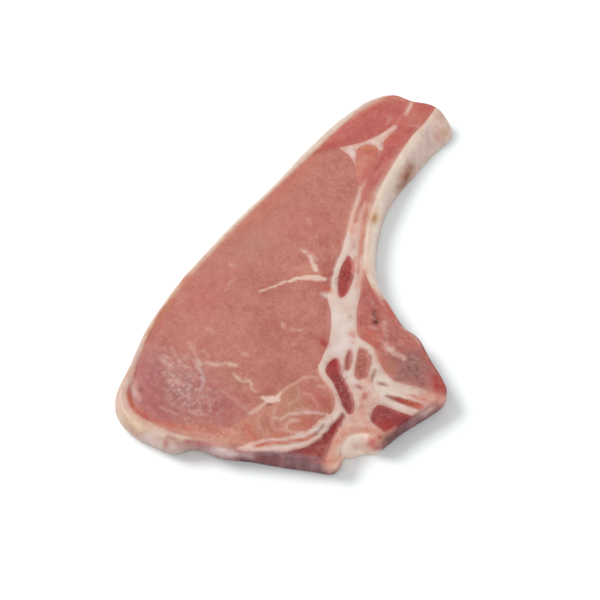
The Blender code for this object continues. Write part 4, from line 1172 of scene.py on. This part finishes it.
def layMarks(places, light):
    # The marks over each other: their colour, and how much of it covers the finish
    covered = np.zeros(len(places))
    shown = np.zeros((len(places), 3))
    for tint, mask in listMarks(places):
        mask = np.clip(mask, 0, 1)
        surface = (np.array(colour(*tints[tint])[:3]) - studio["sheen"]) / light[:, None]
        surface = np.clip(surface, studio["darkest"], 1)
        shown = shown * (1 - mask[:, None]) + mask[:, None] * surface
        covered = covered * (1 - mask) + mask
    return np.concatenate([shown, covered[:, None]], axis=1)


def faceRise(places, finish, near, fat, fibrous, grown):
    # How far the upper face stands above its flat plane
    seeds = drawing["seeds"]
    rise = np.zeros(len(places))
    for amount, length in relief["waves"]:
        rise += amount * np.array([noise.noise(Vector((x / length, y / length, 0))) for x, y in places])
    amount, length = relief["crumple"]
    rise += amount * softNoise(places, length, seeds["crumple"])
    amount, length = relief["fibrous"]
    rise += amount * softNoise(places * (relief["fibreStretch"], 1), length, seeds["fibrous"]) * fibrous
    inner = soften(np.clip(near / relief["seamEdge"], 0, 1))
    if finish.endswith("Marrow"):
        rise -= relief["marrowSink"] * inner
    elif finish in ("sawnBone", "canalSkin"):
        rise += relief["boneRise"] * inner
    else:
        height, reach = relief["crown"]
        depth, width = relief["groove"]
        rise += height * (1 - np.exp(-near / reach))
        rise -= depth * np.exp(-((near / width) ** 2)) * (1 - grown)
        rise += relief["fatRise"] * np.clip(fat * 2 - 0.6, 0, 1)
    return rise


def finishShape(obj, finish):
    # Writes what is drawn on a piece and lets its upper face rise and fall
    mesh = obj.data
    flat = np.empty(len(mesh.vertices) * 3)
    mesh.vertices.foreach_get("co", flat)
    spots = flat.reshape(-1, 3)
    places = spots[:, :2] / mm + np.array(middle)
    height = spots[:, 2] / (slab["thickness"] * mm)
    wallTop, topFade, wallFoot, footFade = drawing["wall"]
    side = np.clip((wallTop - height) / topFade, 0, 1) * np.clip((height - wallFoot) / footFade, 0, 1)
    onWall = np.flatnonzero(side)
    facing = wallFacing(places[onWall])
    light = np.full(len(places), studio["light"])
    light[onWall] += (wallLight(facing) - studio["light"]) * side[onWall]

    drawn = wander(unfoldWalls(places, height, onWall, facing))
    layer = mesh.attributes.new("drawn", "FLOAT_COLOR", "POINT")
    layer.data.foreach_set("color", layMarks(drawn, light).astype(np.float32).reshape(-1))
    fat = np.zeros(len(places))
    if finish.endswith("Meat"):
        for points in fatStrokes:
            fat = np.maximum(fat, strokeMask(drawn, points))
    near = seamDistance(places)
    fibrous = patchMask(places, *drawing["fibrous"])
    grown = patchMask(places, *drawing["grown"])
    border = np.clip(1 - near / drawing["border"], 0, 1) * (1 - grown)
    for name, values in (("fat", fat), ("border", border), ("side", side), ("fibrous", fibrous)):
        mask = mesh.attributes.new(name, "FLOAT", "POINT")
        mask.data.foreach_set("value", values.astype(np.float32))

    rise = faceRise(places, finish, near, fat, fibrous, grown)
    spots[:, 2] += rise * mm * np.clip(height, 0, 1) ** 2
    mesh.vertices.foreach_set("co", spots.reshape(-1))
    mesh.update()
    selectOnly(obj)
    bpy.ops.object.shade_smooth_by_angle(angle=math.radians(relief["smoothAngle"]))


for pieceName, (nodeName, spot, finishName, slotName) in pieces.items():
    finishShape(solids[pieceName], finishName)
print("cut faces shaped")

# Node groups that several finishes share


def addNode(tree, kind, place, **settings):
    node = tree.nodes.new(kind)
    node.location = place
    for setting, value in settings.items():
        setattr(node, setting, value)
    return node


def feed(tree, socket, value):
    # A socket takes either another node's output or a fixed value
    if isinstance(value, (int, float, tuple)):
        socket.default_value = value
    else:
        tree.links.new(value, socket)


def newGroup(name, inputs, outputs):
    group = bpy.data.node_groups.new(name, "ShaderNodeTree")
    for label, kind, default in inputs:
        socket = group.interface.new_socket(label, in_out="INPUT", socket_type=kind)
        socket.default_value = default
    for label, kind in outputs:
        group.interface.new_socket(label, in_out="OUTPUT", socket_type=kind)
    return group, addNode(group, "NodeGroupInput", (-1100, 0)), addNode(group, "NodeGroupOutput", (1100, 0))


def addNoise(tree, place, coordinates, scale, detail, roughness=0.55):
    cloud = addNode(tree, "ShaderNodeTexNoise", place)
    cloud.inputs["Detail"].default_value = detail
    cloud.inputs["Roughness"].default_value = roughness
    feed(tree, cloud.inputs["Scale"], scale)
    feed(tree, cloud.inputs["Vector"], coordinates)
    return cloud.outputs["Fac"]


def addMix(tree, place, share, first, second, blend="MIX"):
    mix = addNode(tree, "ShaderNodeMix", place, data_type="RGBA", blend_type=blend)
    for socket, value in ((mix.inputs["Factor"], share), (mix.inputs[6], first), (mix.inputs[7], second)):
        feed(tree, socket, value)
    return mix.outputs[2]


def addMath(tree, place, operation, *values):
    sums = addNode(tree, "ShaderNodeMath", place, operation=operation)
    for socket, value in zip(sums.inputs, values):
        feed(tree, socket, value)
    return sums.outputs[0]


def addVectors(tree, place, operation, *values):
    sums = addNode(tree, "ShaderNodeVectorMath", place, operation=operation)
    for socket, value in zip(sums.inputs, values):
        feed(tree, socket, value)
    return sums.outputs[0]


def addRange(tree, place, value, low, high, toLow=0.0, toHigh=1.0):
    band = addNode(tree, "ShaderNodeMapRange", place, interpolation_type="SMOOTHSTEP")
    limits = {"Value": value, "From Min": low, "From Max": high, "To Min": toLow, "To Max": toHigh}
    for label, limit in limits.items():
        feed(tree, band.inputs[label], limit)
    return band.outputs["Result"]


def addMask(tree, place, name):
    return addNode(tree, "ShaderNodeAttribute", place, attribute_name=name).outputs["Fac"]


def objectPlace(tree, place):
    return addNode(tree, "ShaderNodeTexCoord", place).outputs["Object"]


def addStretched(tree, place, coordinates, angle, stretch):
    turned = addNode(tree, "ShaderNodeVectorRotate", place, rotation_type="Z_AXIS")
    feed(tree, turned.inputs["Vector"], coordinates)
    feed(tree, turned.inputs["Angle"], angle)
    beside = (place[0] + 180, place[1])
    return addVectors(tree, beside, "MULTIPLY", turned.outputs["Vector"], (stretch, 1, 1))


# Scales of the grain are in waves per metre, and each weight says how much it counts in the tone
grain = {
    "broad": 80, "broadWeight": 0.7,
    "patchy": 230, "patchyWeight": 0.5,
    "flecks": 700, "fleckWeight": 0.9,
    "fibres": 900, "fibreStretch": 0.25,
    "bundles": 480, "bundleBend": 0.0018, "bendScale": 400,
    "bundleEdge": (0.02, 0.16), "edgeAmount": 0.3, "edgeWhere": (0.4, 0.66),
    "contrast": 0.36,
    "fleckHeight": 0.5, "edgeHeight": 0.25,
}


def meatGrainGroup():
    # Mottled lean: broad clouds, flecks, small bundles with paler edges, and fibres along one direction
    group, inside, outside = newGroup(
        "meatGrain",
        [
            ("Light", "NodeSocketColor", (0.6, 0.25, 0.2, 1)),
            ("Dark", "NodeSocketColor", (0.4, 0.12, 0.1, 1)),
            ("Thread", "NodeSocketColor", (0.7, 0.4, 0.35, 1)),
            ("Direction", "NodeSocketFloat", 0.0),
            ("Fibres", "NodeSocketFloat", 0.5),
        ],
        [("Colour", "NodeSocketColor"), ("Height", "NodeSocketFloat")],
    )
    place = objectPlace(group, (-1100, 400))
    along = addStretched(group, (-900, 150), place, inside.outputs["Direction"], grain["fibreStretch"])
    broad = addNoise(group, (-520, 500), place, grain["broad"], 3)
    patchy = addNoise(group, (-520, 350), place, grain["patchy"], 3, 0.6)
    flecks = addNoise(group, (-520, 200), place, grain["flecks"], 3, 0.65)
    fibres = addNoise(group, (-520, 0), along, grain["fibres"], 2)
    fibres = addMath(group, (-340, 0), "MULTIPLY", fibres, inside.outputs["Fibres"])

    wobble = addNode(group, "ShaderNodeTexNoise", (-880, -250))
    feed(group, wobble.inputs["Scale"], grain["bendScale"])
    feed(group, wobble.inputs["Vector"], place)
    bend = (grain["bundleBend"],) * 3
    bent = addVectors(group, (-700, -250), "MULTIPLY_ADD", wobble.outputs["Color"], bend, place)
    bundles = addNode(group, "ShaderNodeTexVoronoi", (-520, -250), feature="DISTANCE_TO_EDGE")
    feed(group, bundles.inputs["Scale"], grain["bundles"])
    feed(group, bundles.inputs["Vector"], bent)
    thread = addRange(group, (-340, -250), bundles.outputs["Distance"], *grain["bundleEdge"], 1.0, 0.0)
    where = addRange(group, (-340, -420), patchy, *grain["edgeWhere"], 0.0, grain["edgeAmount"])
    thread = addMath(group, (-160, -250), "MULTIPLY", thread, where)

    tone = addMath(group, (-340, 500), "MULTIPLY", broad, grain["broadWeight"])
    tone = addMath(group, (-160, 400), "MULTIPLY_ADD", patchy, grain["patchyWeight"], tone)
    tone = addMath(group, (0, 300), "MULTIPLY_ADD", flecks, grain["fleckWeight"], tone)
    tone = addMath(group, (160, 200), "ADD", tone, fibres)
    # Every noise has its middle at a half, so the weights' half sum is the tone's middle
    weights = grain["broadWeight"] + grain["patchyWeight"] + grain["fleckWeight"]
    centre = addMath(group, (160, 0), "MULTIPLY_ADD", inside.outputs["Fibres"], 0.5, weights / 2)
    tone = addMath(group, (320, 200), "SUBTRACT", tone, centre)
    tone = addRange(group, (480, 200), tone, -grain["contrast"], grain["contrast"])
    lean = addMix(group, (660, 200), tone, inside.outputs["Dark"], inside.outputs["Light"])
    lean = addMix(group, (840, 100), thread, lean, inside.outputs["Thread"])
    height = addMath(group, (480, -100), "MULTIPLY_ADD", flecks, grain["fleckHeight"], fibres)
    height = addMath(group, (660, -100), "MULTIPLY_ADD", thread, grain["edgeHeight"], height)
    feed(group, outside.inputs["Colour"], lean)
    feed(group, outside.inputs["Height"], height)
    return group


layers = {
    "raggedScale": 560,  # breaks up the edges of the softening and of the drawn fat
    "wallScale": 330, "wallStretch": 0.35, "wallRange": (0.38, 0.62),
    "borderRange": (0.3, 0.7, 0.5, 1.3),
    "fatRagged": 1.1, "fatRange": (0.12, 0.98, 0.0, 0.9), "fatStart": (0.0, 0.25),
}


def drawnTintsGroup():
    # Lays the wall's colour, the softening at seams, the drawn marks and the fat over a finish
    group, inside, outside = newGroup(
        "drawnTints",
        [
            ("Colour", "NodeSocketColor", (0.5, 0.5, 0.5, 1)),
            ("Side", "NodeSocketColor", (0.3, 0.1, 0.1, 1)),
            ("Side Dark", "NodeSocketColor", (0.2, 0.06, 0.06, 1)),
            ("Border", "NodeSocketColor", (0.6, 0.4, 0.3, 1)),
            ("Border Amount", "NodeSocketFloat", 0.3),
            ("Fat", "NodeSocketColor", (0.8, 0.6, 0.5, 1)),
        ],
        [("Colour", "NodeSocketColor")],
    )
    place = objectPlace(group, (-1100, -400))
    ragged = addNoise(group, (-900, -400), place, layers["raggedScale"], 3, 0.6)
    upright = addVectors(group, (-900, 600), "MULTIPLY", place, (1, 1, layers["wallStretch"]))
    blotches = addNoise(group, (-700, 600), upright, layers["wallScale"], 4, 0.6)
    blotches = addRange(group, (-520, 600), blotches, *layers["wallRange"])
    wall = addMix(group, (-340, 500), blotches, inside.outputs["Side Dark"], inside.outputs["Side"])
    side = addMask(group, (-340, 350), "side")
    current = addMix(group, (-160, 300), side, inside.outputs["Colour"], wall)

    uneven = addRange(group, (-520, 0), ragged, *layers["borderRange"])
    border = addMath(group, (-340, 150), "MULTIPLY", addMask(group, (-520, 150), "border"), uneven)
    border = addMath(group, (-160, 150), "MULTIPLY", border, inside.outputs["Border Amount"])
    current = addMix(group, (20, 300), border, current, inside.outputs["Border"])

    drawn = addNode(group, "ShaderNodeAttribute", (20, 0), attribute_name="drawn")
    current = addMix(group, (200, 300), drawn.outputs["Alpha"], current, (0, 0, 0, 1))
    current = addMix(group, (380, 300), 1.0, current, drawn.outputs["Color"], "ADD")

    fat = addMask(group, (20, -300), "fat")
    edge = addMath(group, (20, -450), "SUBTRACT", ragged, 0.5)
    edge = addMath(group, (200, -300), "MULTIPLY_ADD", edge, layers["fatRagged"], fat)
    edge = addRange(group, (380, -300), edge, *layers["fatRange"])
    start = addRange(group, (380, -500), fat, *layers["fatStart"])
    edge = addMath(group, (560, -300), "MULTIPLY", edge, start)
    current = addMix(group, (740, 200), edge, current, inside.outputs["Fat"])
    feed(group, outside.inputs["Colour"], current)
    return group


meatGrain = meatGrainGroup()
drawnTints = drawnTintsGroup()


def placeGroup(tree, group, place, values):
    used = addNode(tree, "ShaderNodeGroup", place, node_tree=group)
    for label, value in values.items():
        feed(tree, used.inputs[label], value)
    return used


def newMaterial(name, look):
    material = bpy.data.materials.new(name)
    material.use_nodes = True
    shader = material.node_tree.nodes["Principled BSDF"]
    shader.location = (900, 0)
    shader.inputs["Roughness"].default_value = look["roughness"]
    shader.inputs["Specular IOR Level"].default_value = look["specular"]
    return material, material.node_tree


def dress(tree, look, base, height):
    # Lays everything drawn over the base colour, and joins it and the bump to the shader
    light = studio[look["wall"]]
    final = placeGroup(tree, drawnTints, (300, 0), {
        "Colour": base,
        "Side": asSeen(*look["side"], light),
        "Side Dark": asSeen(*look["sideDark"], light),
        "Border": asSeen(*look["border"]),
        "Border Amount": look["borderAmount"],
        "Fat": asSeen(*look["fat"]),
    })
    bump = addNode(tree, "ShaderNodeBump", (700, -300))
    feed(tree, bump.inputs["Strength"], look["bump"])
    feed(tree, bump.inputs["Distance"], look["bumpDepth"])
    feed(tree, bump.inputs["Height"], height)
    shader = tree.nodes["Principled BSDF"]
    feed(tree, shader.inputs["Base Color"], final.outputs["Colour"])
    feed(tree, shader.inputs["Normal"], bump.outputs["Normal"])


# Of all meats, then of each: its tones, its wall's tones, and how its fibres run and how much they show
meatLook = {
    "roughness": 0.46, "specular": 0.35, "bump": 0.35, "bumpDepth": 0.0003, "wall": "shade",
    "border": (208, 148, 132), "borderAmount": 0.3, "fat": (226, 196, 182),
    # The strand colour is partly pale tissue and partly painted wet glints
    "strandGlint": (224, 192, 186), "strandAmount": 0.5, "strandHeight": 0.8, "strandTurn": 0.6,
    "strandStretch": 0.5, "strandScale": 640, "strandRange": (0.46, 0.64),
}
meats = {
    "loinMeat": {
        "light": (200, 137, 125), "dark": (177, 110, 101), "thread": (206, 150, 137),
        "side": (176, 122, 118), "sideDark": (150, 96, 96), "direction": 0.9, "fibres": 0.15,
    },
    "capMeat": {
        "light": (202, 122, 114), "dark": (182, 98, 94), "thread": (204, 132, 122),
        "side": (176, 112, 108), "sideDark": (150, 90, 88), "direction": 1.25, "fibres": 0.35,
    },
    "lobeMeat": {
        "light": (208, 136, 122), "dark": (192, 113, 102), "thread": (212, 148, 134),
        "side": (168, 108, 104), "sideDark": (134, 78, 78), "direction": 1.2, "fibres": 0.3,
    },
    "spineMeat": {
        "light": (202, 143, 127), "dark": (176, 112, 99), "thread": (208, 156, 140), "wall": "litWall",
        "side": (192, 160, 160), "sideDark": (166, 118, 122), "direction": 0.7, "fibres": 0.5,
    },
    "filletMeat": {
        "light": (198, 125, 116), "dark": (172, 99, 92), "thread": (206, 142, 132),
        "side": (160, 104, 100), "sideDark": (120, 78, 76), "direction": -0.5, "fibres": 0.35,
    },
}


def makeMeat(name, look):
    material, tree = newMaterial(name, look)
    lean = placeGroup(tree, meatGrain, (-600, 0), {
        "Light": asSeen(*look["light"]),
        "Dark": asSeen(*look["dark"]),
        "Thread": asSeen(*look["thread"]),
        "Direction": look["direction"],
        "Fibres": look["fibres"],
    })
    # Pale wet strands where the eye muscle is fibrous: partly pale tissue and partly painted wet glints
    along = objectPlace(tree, (-1100, -400))
    along = addStretched(tree, (-900, -400), along, look["strandTurn"], look["strandStretch"])
    glintStrands = addNoise(tree, (-680, -400), along, look["strandScale"], 5, 0.75)
    glintStrands = addRange(tree, (-500, -400), glintStrands, *look["strandRange"])
    glintStrands = addMath(tree, (-320, -400), "MULTIPLY", glintStrands, addMask(tree, (-500, -600), "fibrous"))
    glintStrands = addMath(tree, (-140, -400), "MULTIPLY", glintStrands, look["strandAmount"])
    base = addMix(tree, (100, 0), glintStrands, lean.outputs["Colour"], asSeen(*look["strandGlint"]))
    height = addMath(
        tree, (500, -300), "MULTIPLY_ADD", glintStrands, look["strandHeight"], lean.outputs["Height"]
    )
    dress(tree, look, base, height)
    return material


# Of all fats, membranes and bone, then of each. The scales are in waves per metre
fatLook = {
    "roughness": 0.44, "specular": 0.38, "bump": 0.4, "bumpDepth": 0.0006, "wall": "shade",
    "borderAmount": 0.6, "fat": (232, 206, 192), "lumps": 190, "lumpWeight": 0.8,
    "pores": 900, "poreWeight": 0.35, "poreHeight": 0.3, "range": (0.44, 0.7),
}
fats = {
    "rimFat": {
        "light": (222, 196, 180), "dark": (204, 172, 154), "border": (212, 156, 136),
        "side": (212, 186, 174), "sideDark": (203, 172, 152), "wall": "litWall",
    },
    "seamFat": {
        "light": (230, 208, 200), "dark": (212, 174, 162), "border": (212, 154, 138),
        "side": (212, 182, 164), "sideDark": (190, 150, 140),
    },
    "cavitySkin": {
        "light": (226, 208, 196), "dark": (216, 192, 178), "border": (216, 168, 148),
        "side": (206, 184, 174), "sideDark": (196, 170, 161), "borderAmount": 0.5, "pores": 600,
    },
    "canalSkin": {
        "light": (226, 206, 190), "dark": (212, 186, 170), "border": (214, 160, 142),
        "side": (228, 208, 194), "sideDark": (214, 188, 172), "borderAmount": 0.8, "pores": 600,
    },
    "sawnBone": {
        "light": (226, 209, 199), "dark": (216, 193, 183), "border": (208, 146, 132),
        "side": (120, 84, 87), "sideDark": (94, 62, 66), "borderAmount": 0.55, "pores": 1300,
    },
}


def makeFat(name, look):
    material, tree = newMaterial(name, look)
    place = objectPlace(tree, (-1100, 0))
    lumps = addNoise(tree, (-900, 100), place, look["lumps"], 4, 0.6)
    pores = addNoise(tree, (-900, -150), place, look["pores"], 3)
    tone = addMath(tree, (-900, 250), "MULTIPLY", lumps, look["lumpWeight"])
    tone = addMath(tree, (-700, 0), "MULTIPLY_ADD", pores, look["poreWeight"], tone)
    tone = addRange(tree, (-500, 100), tone, *look["range"])
    base = addMix(tree, (-300, 100), tone, asSeen(*look["dark"]), asSeen(*look["light"]))
    height = addMath(tree, (-300, -200), "MULTIPLY_ADD", pores, look["poreHeight"], lumps)
    dress(tree, look, base, height)
    return material


# Of all marrow, then of each
marrowLook = {
    "roughness": 0.42, "specular": 0.4, "bump": 0.3, "bumpDepth": 0.0003, "wall": "shade",
    "borderAmount": 0.6, "fat": (232, 206, 192), "cells": 1000, "cellWeight": 0.35,
    "blotches": 260, "range": (0.44, 0.86),
}
marrows = {
    "redMarrow": {
        "light": (172, 88, 84), "dark": (138, 58, 58), "border": (200, 124, 114),
        "side": (130, 92, 93), "sideDark": (104, 70, 72),
    },
    "brownMarrow": {
        "light": (190, 124, 113), "dark": (158, 92, 84), "border": (212, 158, 146),
        "side": (138, 92, 92), "sideDark": (104, 62, 64),
    },
}


def makeMarrow(name, look):
    material, tree = newMaterial(name, look)
    place = objectPlace(tree, (-1100, 0))
    cells = addNode(tree, "ShaderNodeTexVoronoi", (-900, 100))
    feed(tree, cells.inputs["Scale"], look["cells"])
    feed(tree, cells.inputs["Vector"], place)
    blotches = addNoise(tree, (-900, -150), place, look["blotches"], 4, 0.65)
    tone = addMath(
        tree, (-500, 0), "MULTIPLY_ADD", cells.outputs["Distance"], look["cellWeight"], blotches
    )
    tone = addRange(tree, (-300, 0), tone, *look["range"])
    base = addMix(tree, (-100, 100), tone, asSeen(*look["dark"]), asSeen(*look["light"]))
    dress(tree, look, base, cells.outputs["Distance"])
    return material


finishes = {}
kinds = ((makeMeat, meatLook, meats), (makeFat, fatLook, fats), (makeMarrow, marrowLook, marrows))
for make, shared, looks in kinds:
    for finishName, look in looks.items():
        finishes[finishName] = make(finishName, {**shared, **look})
print("finishes made:", len(finishes))

for pieceName, (nodeName, spot, finishName, slotName) in pieces.items():
    solid = solids[pieceName]
    solid.data.materials.clear()
    solid.data.materials.append(finishes[finishName])
    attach(solid, "root")
    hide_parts(nodeName)
print("pieces dressed")

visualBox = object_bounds()
[[list(map(float, corner)) for corner in box] for box in (cadBox, visualBox)]
